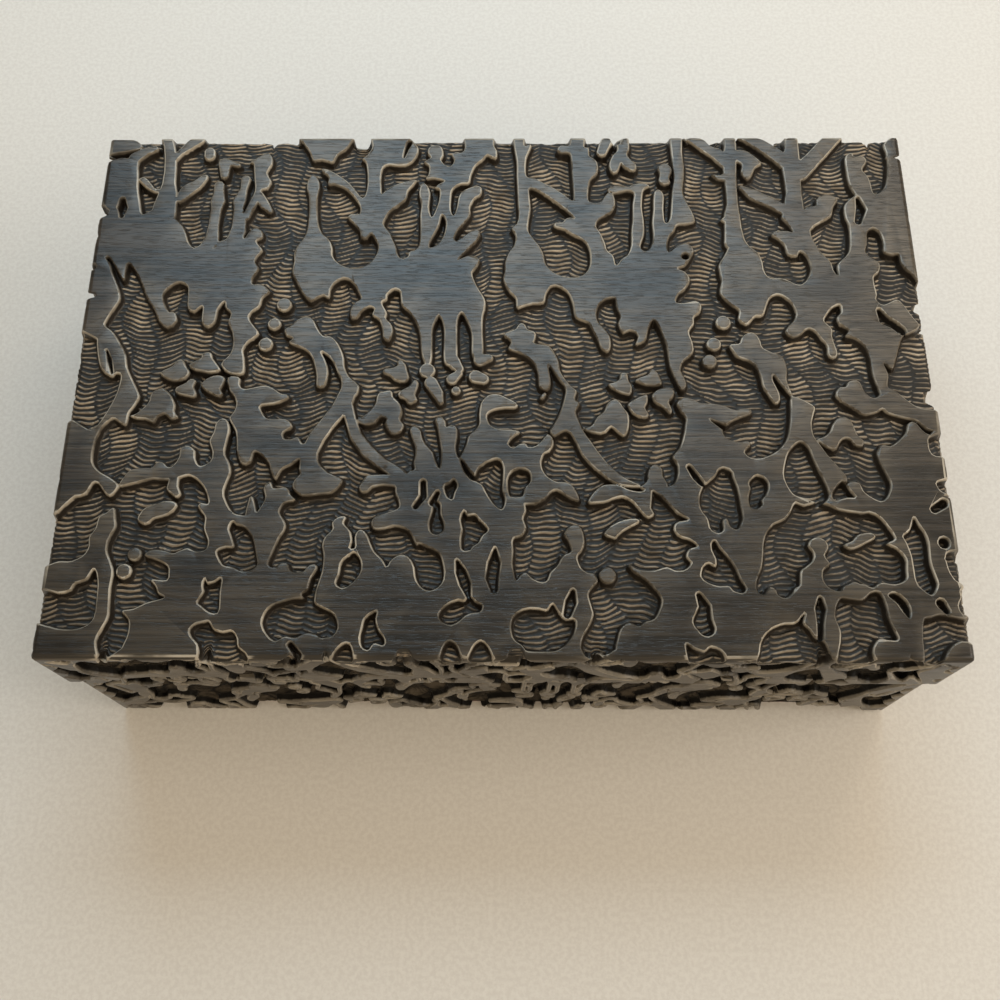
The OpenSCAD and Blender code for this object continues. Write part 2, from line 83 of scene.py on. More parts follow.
topCarving = [
    # back left corner, left block and first long body
    raised("-3,1 4,.4 8.5,.9 10.9,3.8 8,5.2 4,6 -3,6.5"),
    raised("9,8,2 12,5.6,1.6 15,4.4,1.1"),
    raised("-3,9 2.5,8.6 4.5,8.1 7,8.2 10.3,7.5 10.3,11 10.8,15 11.3,20 12.5,25 13.8,29.6 16.3,28.2 "
           "20,27.5 23.5,30.4 26.5,33.4 28.2,36.8 29.3,39.8 31.2,42 33.2,40.8 34.6,38.5 37.5,42.4 "
           "38.7,39.9 41,38.8 42.1,35.5 43.5,31.5 46.5,32 46.4,38.7 48.2,35.8 50,34.7 51.9,36 52.2,38.4 "
           "50.5,39.7 52.6,42.8 51.4,45 50.6,47 52,49.6 50.4,53 50.6,55.1 53.3,55.1 56,57.6 54,60 "
           "53.3,63 51,65 50.6,67.4 53.6,71.5 53.4,73 50.8,75.3 49.6,77.8 50.2,81 50.3,85.6 46.5,85.6 "
           "44,83.6 43.8,81.8 46,79 46.5,75.5 45.8,71.5 44.4,68.5 44.9,65.3 43.2,63.4 42.6,61.2 40.8,64 "
           "40.3,68 38.4,70 36.4,68.2 36.2,63.2 35.2,63.3 33.6,64.7 31.6,63.2 31.2,58 30.6,55.6 28,54.4 "
           "25.2,56.2 23.5,59.4 25.8,64.6 27.8,65 28.6,68 26.2,70.2 23.5,68 21.3,63.5 18.7,59.5 "
           "16.5,54.5 14.2,50.2 11.7,47.6 11,50 10.9,53.6 8.8,50.4 6.8,47.3 4.9,45.2 2.5,46 -3,46"),
    raised("-3,45 4.8,46.5 7,51 9.6,56.5 10.6,60.3 9.3,63.5 7.6,67.3 7.2,69.4 9.8,71.6 12.5,75.5 "
           "14.6,79.3 15.6,83.5 17.3,87 19.6,91.2 20.4,93.6 19.2,96.6 18,98.8 17.6,102.5 15.5,101.5 "
           "13.5,100.4 11,103 9.5,106.5 9.1,112 9.8,115 12,117.3 15,119 17.8,121.5 16,124.6 14.2,123.6 "
           "12,120.8 10.4,120.8 9,123.8 6,124.8 -3,124.5"),
    hollow("-3,73.3 4.5,73.6 5.6,76 6.5,80 8,84 11.3,86.8 12.6,85.6 14.2,86.5 13.8,91.5 12.8,95 11.2,99 "
           "9.3,102.6 7.5,104 4.5,102.6 1.5,100.9 -3,99.5"),
    hollow("8.8,78,.35 10.2,81.5,.7 11.4,85.5,.4"),
    hollow("6.9,24.2,.9 7.2,27.3,1.7 7.3,30.2,.8"),
    hollow(".5,27.5,1.2"),
    hollow(".6,48.8,1"),
    raised("11.2,16.6 12.6,15.5 14.6,17.2 16.6,19.8 18.6,20.4 18.6,21.6 16.4,21.2 14,19.6 12.4,18"),
    raised("17.6,-2,1.7 19.4,3,1.7 20.4,8,1.9 20.8,13,1.9 20.9,18,2.1 21,22,3 20.6,26,3.6 20.3,30,4"),
    raised("21.2,9,1.2 23.2,6.2,1.1 26,3.2,1.7 28.4,.5,2.2"),
    raised("24,24.5 24.6,20.7 26.4,18.4 29,17 30.7,15.3 32.8,14.7 32.9,16.6 31.2,19.6 28.8,21.9 26,24.6"),
    raised("32.8,5.8,1.7 32.9,7.3,1.7"),
    raised("38,10.2,2 38.3,15,1.2"),
    raised("38,9.5,1.2 42.4,10.9,.7"),
    raised("46,9.8 48.5,8 51.4,6.2 53,8 53.1,11 51.9,14 53.4,17.3 52.4,20 50.6,20.6 50.2,24 48.6,28 "
           "47.2,31.5 45.4,31 46.8,26 48.5,21 48,16 47.5,12.2 47.2,10.4"),
    raised("50,22.5,1.4 52,26,1.5 53.9,28.3,.8"),
    raised("37,18.6,1.5 37.1,21.5,1.6 37.1,24.6,2.2 36.8,28,1.6 36.6,34,1.6 36.5,40,2.2"),
    raised("45.3,16.5,1.5 44.9,20.2,1.1 43.9,24.4,2 43.8,27.5,1.4 44.2,31,1.8 44.6,36,2.3"),
    # dots, pebbles and cap in the first repeat
    raised("60.8,62.2,2.2"),
    raised("58.3,68.9,1.9"),
    raised("56.2,75.8,2.1"),
    raised("25.8,85.3 29,83.3 30.3,81.3 32,81.2 33,83.2 34.3,85.3 33,87.4 30,88 27.5,87.2"),
    raised("34,82.8 36,81.3 37.5,80.5 37.5,79 40,78.7 40.6,80.3 41.8,82 43.3,84.5 40.5,85.3 38,84.9 "
           "35.5,84.3"),
    raised("31,90.3 33.6,88.8 34.8,87.5 36.5,88 36,90 37,92 36.5,93.4 33.5,92.8 31.2,92"),
    raised("38.2,89.3 40,87.2 43,86.3 45,87.2 44.6,89.3 44,90.8 44.7,92.3 43.8,93.3 41.5,92.2 39.5,91"),
    raised("18.5,99.5 20,99 22,97 23.5,95 24,92 26,90.8 27.2,90.6 29,92 30.2,93.8 31.2,96 31.2,98.2 "
           "32.4,99.8 30.5,100.5 28.5,98.8 26.5,99.8 25.5,101.5 23,100.5 20.5,100.3"),
    # middle body of the first repeat
    raised("45.9,87.2 47.5,86.6 49.5,87.2 49.6,89.5 51,90.8 54,90.3 57,89.7 59.5,90.5 62,92.3 64,92.7 "
           "64,94 60.5,95.5 56.4,96.2 57,98.5 58.5,100.3 61.5,100.6 64.5,100.8 66,103 63.6,104.8 "
           "64,106.8 66,107 68,106.3 69.3,108.3 72,108 74.4,109 73.8,112 74.8,115 77.6,117.6 81.6,119.8 "
           "79,123.4 75,124 70.4,124.4 67.6,122 68,119.6 69.8,117 69,113.3 66.5,115 64,116.5 62.5,119.4 "
           "61,117 60.2,114.4 57.6,111.6 55.6,111 54.8,114.2 52.4,114.6 50.8,111 50.4,107.6 49.8,104.4 "
           "48.2,101.6 47.6,100 48.8,98 49.2,95.6 48.4,93.2 46.8,91"),
    # trunk and lower mass of the first repeat
    raised("18,121.6 19.5,118.2 21,116.5 25,116.1 26.8,116 27.8,114.6 29.6,114.2 31.4,115.8 33,115 "
           "34.2,112.6 34.4,110 36.2,109 38.4,110.4 38.8,113 40.2,115.3 42,115 43.6,113.4 43.6,110.6 "
           "42.5,107.5 43.5,104.6 43.8,102 45.2,100.4 47,101 47.9,104 47.4,108 47.2,111.5 48.8,114.5 "
           "49.4,117.5 48.6,120.5 48,123.5 49,126.5 51,129.5 53.5,130.4 57,130.4 59,127.8 60,125 "
           "59.3,122 61,120.2 62.2,122.3 65.8,122 67,124.2 68.4,125.8 65.5,126.8 64.3,129.5 66,132.4 "
           "66.2,134.6 64.4,138 63.4,141 62.3,145 64.4,146 65.6,144.8 67.6,144.8 68.4,146.6 70,147.4 "
           "72,147.2 73.6,145.4 75.6,145 75.8,146.6 74.4,149 73.8,152 72.6,154.4 83,160 83,175 23.4,175 "
           "24.6,169 25.8,165 25.6,161 23.4,158.4 26.4,157.8 30,156 34.6,154.6 32.8,153.4 31.8,151.2 "
           "30.4,149.4 34.6,149.6 35,147.4 34.4,145.4 31.6,143.8 27.8,142.4 29.6,140.8 33,141 35.5,141.8 "
           "37,141.2 39.5,140.3 42,141.3 44.6,140.6 45,138 43.6,134.6 43.5,131 42,129 41.2,127.6 "
           "42,126.8 44,127 43.5,124.5 42.3,122 40,119.5 37.5,118.3 35,119 31,119.6 27,119.4 23,120.6"),
    raised("24.9,142,1.9"),
    raised("33.5,119,1.3 33.3,122,1.6 34.8,124,1"),
    raised("56,125.2,.5 56.2,128.5,1.3 56.3,130.5,1.6"),
    raised("24.5,131.5 26,128.5 29,127.2 31.5,126.2 34.5,126.5 35,128 33.5,129.8 31.5,130.8 29,131.5 "
           "27.5,133 26,133"),
    hollow("51.3,132.3 52.5,133.2 55,134 57.3,137 58.3,140 59,143 59.3,145 57.5,146.8 55,147 52.5,145.8 "
           "50,145.3 48.3,143 47.8,141 50,140 52.3,139.8 51.5,137 50.5,134.5"),
    hollow("45.2,149 46,150.5 48,150 49.8,149 49.7,153 49.8,158.5 47.5,158.8 45,157 43.8,155.8 45.2,153 "
           "44.8,151"),
    hollow("42.5,163.5 44,162 46,161.5 47.5,161.3 49,163.5 51.5,164.3 54,164 55.5,166 56,168.5 58.5,171 "
           "58,175 46,175 45.5,170 44.8,167.5 43,165.5"),
    hollow("73,154.5 74.5,153 76,156 78.5,157.5 81,158.8 82.3,161 82.5,163.5 81,165.5 78.5,166 "
           "76.5,164.8 74,164.6 71,166 68.5,165.5 66,166.8 64,165.5 62.3,163 62,160.5 63.5,157.5 "
           "66.5,155.8 70,154.8"),
    raised("17.4,128.2 18.2,131.5 18.6,134 17.2,137.5 17,141 18.6,144.5 19.6,147.5 19.4,152 19.8,157 "
           "19.8,160.5 18.4,163.8 17.4,167 17,175 -3,175 -3,162.4 3,162.6 6.5,163.4 10.5,163.6 14,162.6 "
           "16,160 16,154 15.6,149.5 14.2,146.4 12.4,149.4 9.6,150.6 8.4,152.6 5.6,153.4 2.4,152.7 "
           "-3,151 -3,146.4 1,145.2 4,144.2 7.6,144.1 10.6,142.4 11.8,140 11.6,137 13,134.4 13.6,131 "
           "15.4,129.8"),
    raised("22.5,147,2.1"),
    # neck and long body of the second repeat, with its stems and legs
    raised("60.8,-3 63,2.5 65,6 66.3,9.3 69,9 72.5,10 74,7 76.5,4.8 78,2 78.5,-3"),
    raised("66.7,14.6 68.3,16.6 68.9,19.6 68.5,23 68.7,28 69.2,32.5 70.6,36.5 73,39 74.2,42 74.5,45 "
           "76.5,47.6 79.5,49.2 83,49.4 86,47.6 88,44.5 88.4,41 87.4,38.8 86,36.8 84.6,38.6 83,38.2 "
           "82.4,35.6 80.2,32.8 78.6,30.8 79.6,29.6 82,29.6 82.2,27 81,24.6 79,21.8 76.5,19.6 73.5,18.4 "
           "71.6,18.4 71.6,15.6 69.6,13.6 69.4,12.4 71.4,12.8 74.5,14.8 77.5,17.2 79.6,19.6 82.8,23.6 "
           "84,20 84,15 83.2,10 82,8.6 83.6,7 85,3.4 84.6,-3 94,-3 98.8,2.6 99.8,5 99,8.4 96.8,10.8 "
           "93.6,11.3 90.6,10.9 88.8,12 88.2,15 88.4,19 88.8,22 89.8,20.8 91.5,19.4 94.5,18 97.5,17 "
           "99.6,16.8 98.4,19 97,21 96.4,24 94,26.4 91.6,28.6 90.2,31.4 89.8,33.6 91.6,36.2 92.8,39 "
           "94,42 94.6,44.6 96,46 97.8,45.2 98.2,43.4 100,42.8 101.2,40.6 101.4,36 101.2,30 101.4,26 "
           "100.6,22 101,19 102,18 103.2,19.2 104,22 103.8,25.5 103.8,28 104.8,30.8 106,28 107,24 "
           "107,20.5 105.6,19.8 106.8,18.2 108.4,17.2 105,16.2 102.6,16.2 103.4,14.4 103.4,11.4 "
           "101.8,9.8 103.8,8.2 103,6.6 103,4.8 104,3.4 106.6,3.4 107.6,5 107.8,7.4 107.2,9.2 109,11.4 "
           "110.6,11.2 111.4,9 110.6,7 112,6 113.6,6.2 114.8,4 114.9,-3 123.4,-3 124,3 125,5.6 124.6,8.6 "
           "122,7.2 120.6,9 118.2,11.4 116.8,15 116.2,18 113.4,18.4 111,20.6 110.6,24 110.6,28 "
           "111.6,30.2 112.6,27 113.2,23 114.6,20.8 117.6,19.4 120,19.5 120,22.4 118,24 116.7,27 "
           "116.7,30 115,33 113,35.6 112,38.4 112.6,39.6 114.4,38.2 116.2,36.6 118.6,35.3 119.8,36.2 "
           "119.6,38.4 117.6,41 115.6,43.4 113.2,46.4 115.2,45.4 117.4,44.8 119.8,46.2 119,49 117.6,51 "
           "118.4,54 119.8,57 121.6,60.5 121.6,64 121,66.4 121,72 121.2,79 119.4,81 118,79 117.8,72.5 "
           "116.4,68 114.6,65 113.4,68 113.4,74 113.4,81 111.4,83 109.7,81 109.6,72 109,68.2 107.8,66 "
           "107,67.4 106,70.5 106,76 105.9,81.5 104.6,83 103.4,80.5 102.8,77.5 102.4,73 101.2,68.8 "
           "99.2,65.2 96.8,62.8 96.2,60.4 95.8,57.6 94,56.8 92,58.6 91.8,60.4 90.4,61.6 92,65 91.8,67 "
           "93.6,69.2 94,72 93,74.6 91.4,73.6 91,70.6 89.8,67.4 87.8,65.8 88.2,63.6 86.4,63 84.2,64.8 "
           "83.2,66.8 81.4,67 81,64.4 82,61.8 84,60.2 83.2,58 81.8,55.2 79.2,53 76.6,53.8 74.6,56.5 "
           "74.3,59.8 72.5,59 70.5,60 68.5,61 65.8,57.6 63.6,53.4 62.5,50.5 62.8,47 62.6,44 63.6,41 "
           "65.6,37.5 66.2,33 66.2,28 65.8,23 64.9,19.6 65.2,16.6"),
    hollow("97,2,.9 96,5,.6 95.3,8,.3"),
    hollow("107.8,30 109,31.5 109.3,34 108.5,38 106.5,41 104.5,42 104.3,40.5 105.5,37.5 107,34"),
    raised("104.8,84.6,2.3"),
    raised("106,88.6,1.9 108,92,1.6 109,95,.8"),
    raised("112.4,81.5,2 114.2,84,1.3"),
    raised("112.2,87.4,1.7 114.2,85.6,1"),
    raised("113.4,91.2,1.3"),
    raised("120.5,81,2 123,80.4,1.2"),
    raised("119.2,86.6,2 121.4,87.4,1.6"),
    # winged leaf, forked stem, pebbles and cap of the second repeat
    raised("61.6,70.8 63.4,69.6 64.6,68 66.4,66.8 68.4,66.4 70,67.6 71,69.8 72.2,71.8 73.6,73.2 "
           "75.6,73.3 77.4,75 78.8,77.6 79.8,80.4 80.2,83.4 81.4,86.2 83.6,88.6 84.8,90 84,93 80,92 "
           "79.6,88 78.2,85 76.8,81.8 74.8,79.4 73,78.4 74.4,81.4 75.4,84.6 75.2,88 74.4,90 72.4,89.8 "
           "72.2,86.4 71.4,83 70.2,79.8 68.4,77.8 65.6,76.4 63.2,75.2 64.2,73.8 62.4,73"),
    raised("82.2,90,2.2 81,94,2.6 79.6,97,2.4 76.4,101.6,2.2 73.4,106.4,2.4 71.6,111,2.4 71.6,116,2.6"),
    raised("81.6,96,1.7 83,101,1.5 84.8,106,1.7 88.4,110.8,1.9 93,114.8,1.6 98,118,1.8"),
    raised("84.6,101 86.4,99.8 88.6,97.6 90,95.4 90.6,92.4 92.4,91.6 94.4,91.4 95,93.4 97,95.6 97.8,98.4 "
           "97.2,100.6 98.4,102.4 97.6,104.6 95.6,105.4 94.2,104.4 93,102 93.4,100.4 91.6,99.8 90,101.8 "
           "87.4,102.4"),
    raised("91.8,85.4 92.2,84.2 94.6,83.8 96,82.8 95.8,81.6 97,81.2 98.2,82.6 98.8,84.8 99.4,87 "
           "98.2,88.4 95.6,88 93.8,86.4"),
    raised("96.6,92 98.4,90.6 100,89.6 101,87.8 102.2,88.4 102,90.4 101.4,92.6 102,94.4 100,95.6 98.4,94 "
           "97,93.4"),
    # clump and lower mass of the second repeat
    raised("100.6,103.2 102,102.8 103.2,104 103.8,106.4 105,108.6 106.8,110.6 107.8,113.4 109.2,116.2 "
           "109.6,111 109,107 108.4,103.6 107.6,100.6 109,99.6 110.4,101 110.8,103 112.4,102.4 "
           "113.8,103.4 114,106 113.6,109.6 114.6,113.6 116,117 118.4,119.8 121.2,121.4 122.8,124.2 "
           "124.6,127 127.2,129 128.2,126 129.4,125.6 131.2,125.2 133.2,126.6 133.8,129 133,131.4 "
           "133.8,134 132.6,136.4 130.2,137.4 130.2,141 130,145 131,149.4 132.4,147.8 134,147.4 "
           "135.6,149 138,150 139.6,149.4 140.6,147 142.6,145 144,142.4 146.4,141 145.6,138 144.5,136 "
           "145.6,134 147.8,133.2 149.4,134.6 150,138 149.4,140.6 148,142.6 148.8,145.6 150.6,147.2 "
           "152.6,147.6 153.4,149.8 152,151.4 150.8,153.4 151.4,156.4 152,159 151.2,161.6 150.2,163.4 "
           "149,165.6 148.4,168.4 149.4,171 150,175 80,175 78,162 76,156 75.8,155.6 76,152.6 77.4,147 "
           "77.6,142.4 77,139.4 77.6,137 79.6,134.6 79.4,132.6 81,131 83.2,130.9 82.6,132.8 84.6,135.2 "
           "85.2,138 84.8,140.2 86.2,140 86,137 86.6,135.2 88,134.8 89.4,136.4 90.4,138.8 91.6,141.2 "
           "94,143.6 95.2,145.6 96.4,143.6 98.4,142.2 100.6,142.4 102,143.8 103,145.6 104.2,142 "
           "103.2,139.4 102,136.6 100.4,134.6 97,133.6 94,134.4 91.2,134.4 90.4,132.6 91.4,130.8 "
           "94,129.9 97.6,128.4 98,126.6 97,124 96.8,121.4 98,119.4 100.2,117.2 101.8,114 102.2,110 "
           "101.2,107 100.4,104.4"),
    raised("88,122,1.5 89.4,120,1.8 93.4,119.6,1.6 97,120,1.6"),
    hollow("100.8,113,.5 101.4,116,.7"),
    hollow("104.6,120.4,.9 104.8,124.6,1 102.6,127.8,.8"),
    hollow("107.4,126.6,1 108.8,123.6,.7"),
    hollow("113.4,119.4 114.4,121.4 113.6,123.4 113,125.6 111.4,124.6 110.6,121.6 112,120.6"),
    hollow("108,126 109.6,127 109.8,130 110.8,132.6 110.6,135 108.8,136.2 107,135.2 106.6,132.4 "
           "107.4,129.4"),
    hollow("86,141.4 87.8,143.4 88.2,146.4 87,149 85,151 83.2,151.8 81.4,150.4 82.2,147.6 82.6,144.4 "
           "84.4,142.4"),
    hollow("103.4,139 106,139.6 109.4,141.4 110.6,144 111.2,147.4 110.6,150.2 108.4,152.2 106,152.2 "
           "103.8,150 103,147 102.8,143"),
    hollow("116.4,129 117.4,130.4 119.4,130.2 121,132 123.2,134.6 121.6,136.4 120.6,138.4 119,139.6 "
           "118,140.8 116,140.6 115.6,137.6 116,134.6 115.4,131.4"),
    hollow("114.6,143.8,.4 115.8,147,1.5 117,150.4,1.6 118,154,.7"),
    hollow("125.2,140.4,.5 125,144.5,1.8 124.4,148.6,1.8 125,152,1.1"),
    hollow("118,153.6 120,155.6 121.8,156.6 121.2,158.4 119,158.8 117,159.6 115.6,161 113.2,162.2 "
           "110.6,161 110,159 112,156.6 114.8,155.2 117,155.4"),
    hollow("93,158.2 92.8,160.6 93.6,163.4 95.4,166 95.2,168 92.6,167.4 91.2,169.4 89.4,168.4 88.8,165.6 "
           "89.4,162.6 90,160.2"),
    hollow("62,160.5 63.5,157.5 66.5,155.8 70,154.8 73,154.5 74.5,153 76,156 78.5,157.5 81,158.8 "
           "82.3,161 82.5,163.5 81,165.5 78.5,166 76.5,164.8 74,164.6 71,166 68.5,165.5 66,166.8 "
           "64,165.5 62.3,163"),
    hollow("129.6,163 130,160.4 131.6,158.6 134,157.6 137,157.6 139.4,158 141,156.2 142.6,158.6 "
           "144,160.4 147,160.6 146.8,164 145,167 142,169.4 138,169.8 133.4,169.4 130.6,166.8"),
    hollow("146.6,152.6,.7 146,155.6,1.6 145,159,1.2"),
    hollow("84.6,167.4 86.6,168.6 87,175 81,175 82,170.4"),
    hollow("113,166.6 115.4,168.8 116.4,175 110.6,175 111,169.4"),
    hollow("121.4,166.6 124,169.4 124.8,175 118,175 118.8,169.6"),
    hollow("70,168,.8 72,171,1.4"),
    # middle body of the second repeat
    raised("120.4,98.6 121,95 123,92.8 125.8,92.5 128.6,93.8 131.2,95.4 131,96.8 127.6,97 124.6,97.6 "
           "122.6,99.2 123.4,102.2 126,103.7 130,104 132.2,104.6 130.2,106.2 128.8,108.3 130.2,109.6 "
           "132,108.5 133.8,108.3 134.6,109.4 136.6,109.1 138.6,107.3 140,105.4 141.4,106.2 141.8,108.4 "
           "140.6,110.6 139,111.6 138.2,114 138.6,116.4 140,118.6 142.6,120.2 145.4,120.4 147.4,121.8 "
           "148.8,125.8 145.4,124.6 143,122.8 141,123.2 139.4,125.2 136.8,126.8 134,127 131,127.4 "
           "126,130 121,126 116,120 114.4,114.4 115.6,111 116.8,108.4 117.4,105.8 119.2,104 120.4,102"),
    hollow("120,116.5 122,114.6 124.6,113.2 126.4,113.4 127.4,115.6 127.4,119 127.2,122.6 128,125.6 "
           "127,128.6 124.6,126.8 122.6,123.6 121.4,121.2 119.4,119.6"),
    hollow("115,113.2 116.2,114.2 117.6,116.4 119.4,118.6 119.8,120 118,119.4 116,116.6"),
    hollow("128.6,119.6 129.4,117.6 131.2,116.2 133.4,116.2 135,117.4 135.2,120 133.6,122 132.8,124.6 "
           "129.6,124.8 128.8,123"),
    # neck and long body of the third repeat
    raised("130.4,-3 130.6,4 131.4,10 131.4,15 131.6,20 131.8,26 132,30 131.4,33 129.8,35 131,37.5 "
           "130.6,41 129,43.6 127.8,47 127.8,50 127.3,53.5 129,57.6 131,60 131.4,63.4 133.4,62.8 136,62 "
           "139.4,61.6 140.2,58.6 142,55.8 144.6,56.2 147,58.4 148.2,61.6 148.8,66 150,67.4 152.8,68.6 "
           "154,71 155.4,74 156.6,77.4 158.4,78.4 159.2,76.4 159,73 157.4,70.4 155.8,68.4 155.2,66 "
           "155.8,63 157.4,61 159.6,60 161.2,60.2 161.4,63 162.6,66.4 161.8,68.8 163,72 165,71.2 "
           "166.8,71.8 167.6,73.4 166.8,76 169.6,74.6 170.6,71 172.4,67.4 174.2,70.4 175.6,74.6 176.2,79 "
           "176.6,83.4 178,87.6 179.6,91 181,89.6 180.6,87 179.6,84.4 180.6,81.6 182.4,80 183.8,78 "
           "183.6,75 182.8,71.6 184.4,69 184.6,66.6 186.4,65 187,62.4 185.4,61 183,61.6 180.4,61.8 "
           "179.4,61 180.4,58.6 181.6,57.6 183.4,55.4 184,53 182.6,50.6 180.4,49.6 182.8,48.6 184.6,46 "
           "185.8,43 184.2,40.6 181,41.2 178.2,43.6 177.8,41 178.6,38 180.2,36 181.2,33.8 184,33.4 "
           "186.6,32.8 186.6,30.4 185.6,27.6 184.4,24.6 183.6,21 184.2,16 184.5,12 184.2,6 184.4,-3 "
           "180.8,-3 181,10 181.3,16 180.4,21 179.9,26 179.2,31.4 177.6,33 177.2,28 177.6,23 176.6,20.8 "
           "175,21 174.4,24 174.2,28 173.6,33 173.7,38 172.8,41.4 171,43.4 169.5,41.6 170.8,37 170.9,32 "
           "170.5,27 171.2,21 173.2,19.2 171.4,18.2 168,18.6 166.4,19.6 162.4,19.2 160,20.4 161.6,22 "
           "166,21 168.3,22 167.8,26 167.5,32 167,36 166.8,41 165.6,44.4 163.4,46.4 161.8,48.4 161,45 "
           "159.2,43 158.6,40.4 157.4,37 156,34 157,31.6 159.6,30 161.6,28 162.2,25 161.4,21.8 159.8,22 "
           "158,24.8 156,25.6 154,24.8 153.8,21.6 154.6,17 156.8,14.4 157.2,11.4 156.4,9 154.6,7.6 "
           "154.4,4.4 153,3.6 153.4,-3 148.8,-3 148.4,3 145.4,3.4 144.4,5 145.4,6.4 148.3,6.6 148.8,11 "
           "149,16 149.2,24.4 146.5,22.6 143.5,20.2 140,18 137,16.2 134.4,15.2 134.3,9 135.6,5 136,2.8 "
           "133.8,3.2 133.8,-3"),
    hollow("135.4,20 139,21.6 143,24.8 147,28.4 149.6,31.6 148.4,31 146.6,31.4 145.6,32.8 143.2,33 "
           "143.2,34.4 146,35.4 149,37.6 151.6,39 153.4,41.6 154,45 153.6,49 151.4,52 148,52.8 144.4,52 "
           "141.4,49.8 140,47.4 139.4,44 138,41 136,38 134.8,35.6 135,32 135.6,28 135.4,24"),
    hollow("183.2,45.2,1.2"),
    raised("158.6,6,1.6 159.6,3,1.8 161,-1,1.6"),
    raised("163.6,-3 163.6,4.4 162,7.4 160.8,11 161.6,14 163.4,13.6 164.6,10.4 165.6,12 168.6,13.4 "
           "169.4,11.2 167.8,9.2 166.6,7 167.4,4.4 166.8,-3"),
    raised("176.2,12.4 177.4,10.9 178.6,10.4 180,11.4 180.6,13.4 179.6,16 179.8,18 177.6,18.6 176.4,17 "
           "176.8,14.6"),
    # dots, winged leaf, forked stem, pebbles and cap of the third repeat
    raised("193.3,68.4,2.2"),
    raised("190,75.8,2.1"),
    raised("188.4,81.5,2.1"),
    raised("127.4,72.6 129.4,71.4 131,70.6 132.2,68.8 133.6,69 134.6,70.8 136.8,71.8 136.8,74 136.4,75.4 "
           "138.6,76 141,76.6 142.4,78.6 143.6,81.6 144,84.6 145.4,87.4 147.4,90 148.8,91.4 148.2,94 "
           "149.6,95.6 148.4,98 149.2,101 150.6,104.4 152.6,107.6 155.4,112 158.4,115.8 162,119 "
           "166.6,121.6 160,121 155,117.4 150.4,112.4 148.2,107.6 146.4,104.6 144.6,104.4 142,106 "
           "141,104 142.4,101.6 144,98 145.2,94 145.6,90.4 143.6,87.4 141.6,84 140.6,82.6 140.8,85 "
           "141.2,88.6 140.4,91 138,90 137.6,86 136.6,82.6 134.4,80.2 131.6,78.6 128.8,77.4 129.6,75"),
    raised("139.4,92.4,.5 138.6,93.6,.5"),
    raised("150.6,103.8 153,102.6 154.6,100 156.8,97.8 157.8,95.4 159.6,94.2 161,94.6 162.2,96.6 "
           "163.6,98.8 163.8,101.6 163.2,104.6 162,105.8 160.4,104.6 158.6,103 156.6,104.8 154.2,105"),
    raised("158.2,89.2 160,88.6 161.6,87.4 162,85.6 163.8,85.6 164,87.6 165,90 164.4,92.4 162,92 160,91"),
    raised("166.2,88 168,86.8 170,86 171,84.2 172.4,84.8 173.4,87 173.8,89 171.6,89.6 168.6,89.2"),
    raised("163.8,95.6 166,94 168.4,92.8 169.4,92.6 169.4,95 168.6,96.8 169.6,99 168.6,100 166,99.4 "
           "164.4,97.6"),
    raised("171,92.6 173,90.8 176,90.4 177.4,91.4 176.8,93.6 175.6,95 176.4,97.4 175.8,98.6 174,96.6 "
           "171.6,95"),
    raised("151.4,126.4 153.2,123.2 156,121.2 160,121.2 163,122.6 166.4,123.2 169.2,122 169.4,124.6 "
           "169,128 169.8,130 168,131 166,129 164,126.4 161.6,124.8 159,125.2 156.6,126.2 154,126.6"),
    raised("155.8,136 157,134 159.6,132.4 162,131.6 165,131.4 165.4,132.4 163,133.8 161,135 159.4,136.4 "
           "158.6,137.2"),
    raised("156.2,148,2.3"),
    raised("168.6,118 169.4,115.6 171,114.8 172.6,116 172.8,118.4 174,121.4 170,123 166.4,122 "
           "168.4,119.8"),
    # middle body and lower mass of the third repeat, with the forked stem of the fourth
    raised("178,95.4 179.6,93.7 182,93.8 185,95.3 189,95.6 192,96.4 195,97.6 199,97.2 199.2,98.8 196,100 "
           "193,101.6 190.8,103.8 191.6,106.4 195,107.8 197.6,107.4 198.4,108.6 196.6,110.8 198,112.6 "
           "201,112.9 204.4,111.6 207,109.6 209.2,106.6 210.4,102 211,97 211.4,93.6 213,93.4 216,95 "
           "218,96.6 217.4,99 216.6,102 216.8,105.6 218.4,108.6 220.4,112 222.6,115 225,118.6 224.6,121 "
           "226,120 228.4,120.6 229.6,123.4 233.6,126 236,124.4 237.2,121 236.4,118 235,114.4 "
           "234.4,111.4 235.2,109.6 236.4,108.6 238.6,109 241.4,107 243.6,104.6 244.4,102 246.4,101.4 "
           "248.4,104 250.6,105.4 257,105.4 257,175 158.6,175 157.8,169 158.4,166 159.4,163 161.6,161.4 "
           "164.2,162.4 166,161.2 168.4,160.4 170,158 170.8,155 169.6,152.6 166.6,149.2 163.4,147 "
           "162.2,144.8 165,146.4 169,146.6 172.6,145.6 175,146.6 177.6,146.3 179.4,144.4 178.2,142.6 "
           "179,140.4 181.4,139.4 179.4,137.6 176.6,136.6 175.2,134.6 176,132.4 179.4,131.6 176.6,129.8 "
           "174,126.8 172,124.4 170,122.6 175.2,121.2 177,118.6 177.2,115 176,112.4 178.2,109.4 "
           "179.4,106 180,103 180.4,100 179,98"),
    hollow("187,100.4 189,101.2 192,102.6 191,103.8 188.6,102"),
    hollow("180.4,115.6,.7 182,118.4,1 183.6,120.6,.8"),
    hollow("190.4,115.8 192.4,117 192.8,119 193.8,122.4 194.2,127 194.6,131 193,134.4 191,133.6 "
           "190.2,131.4 189,131.8 189,134.6 187.4,135.6 185.4,134.4 184.8,131.4 183,128.4 182.8,125 "
           "184,121.6 185.4,120.4 187.6,118.4 188.8,116.4"),
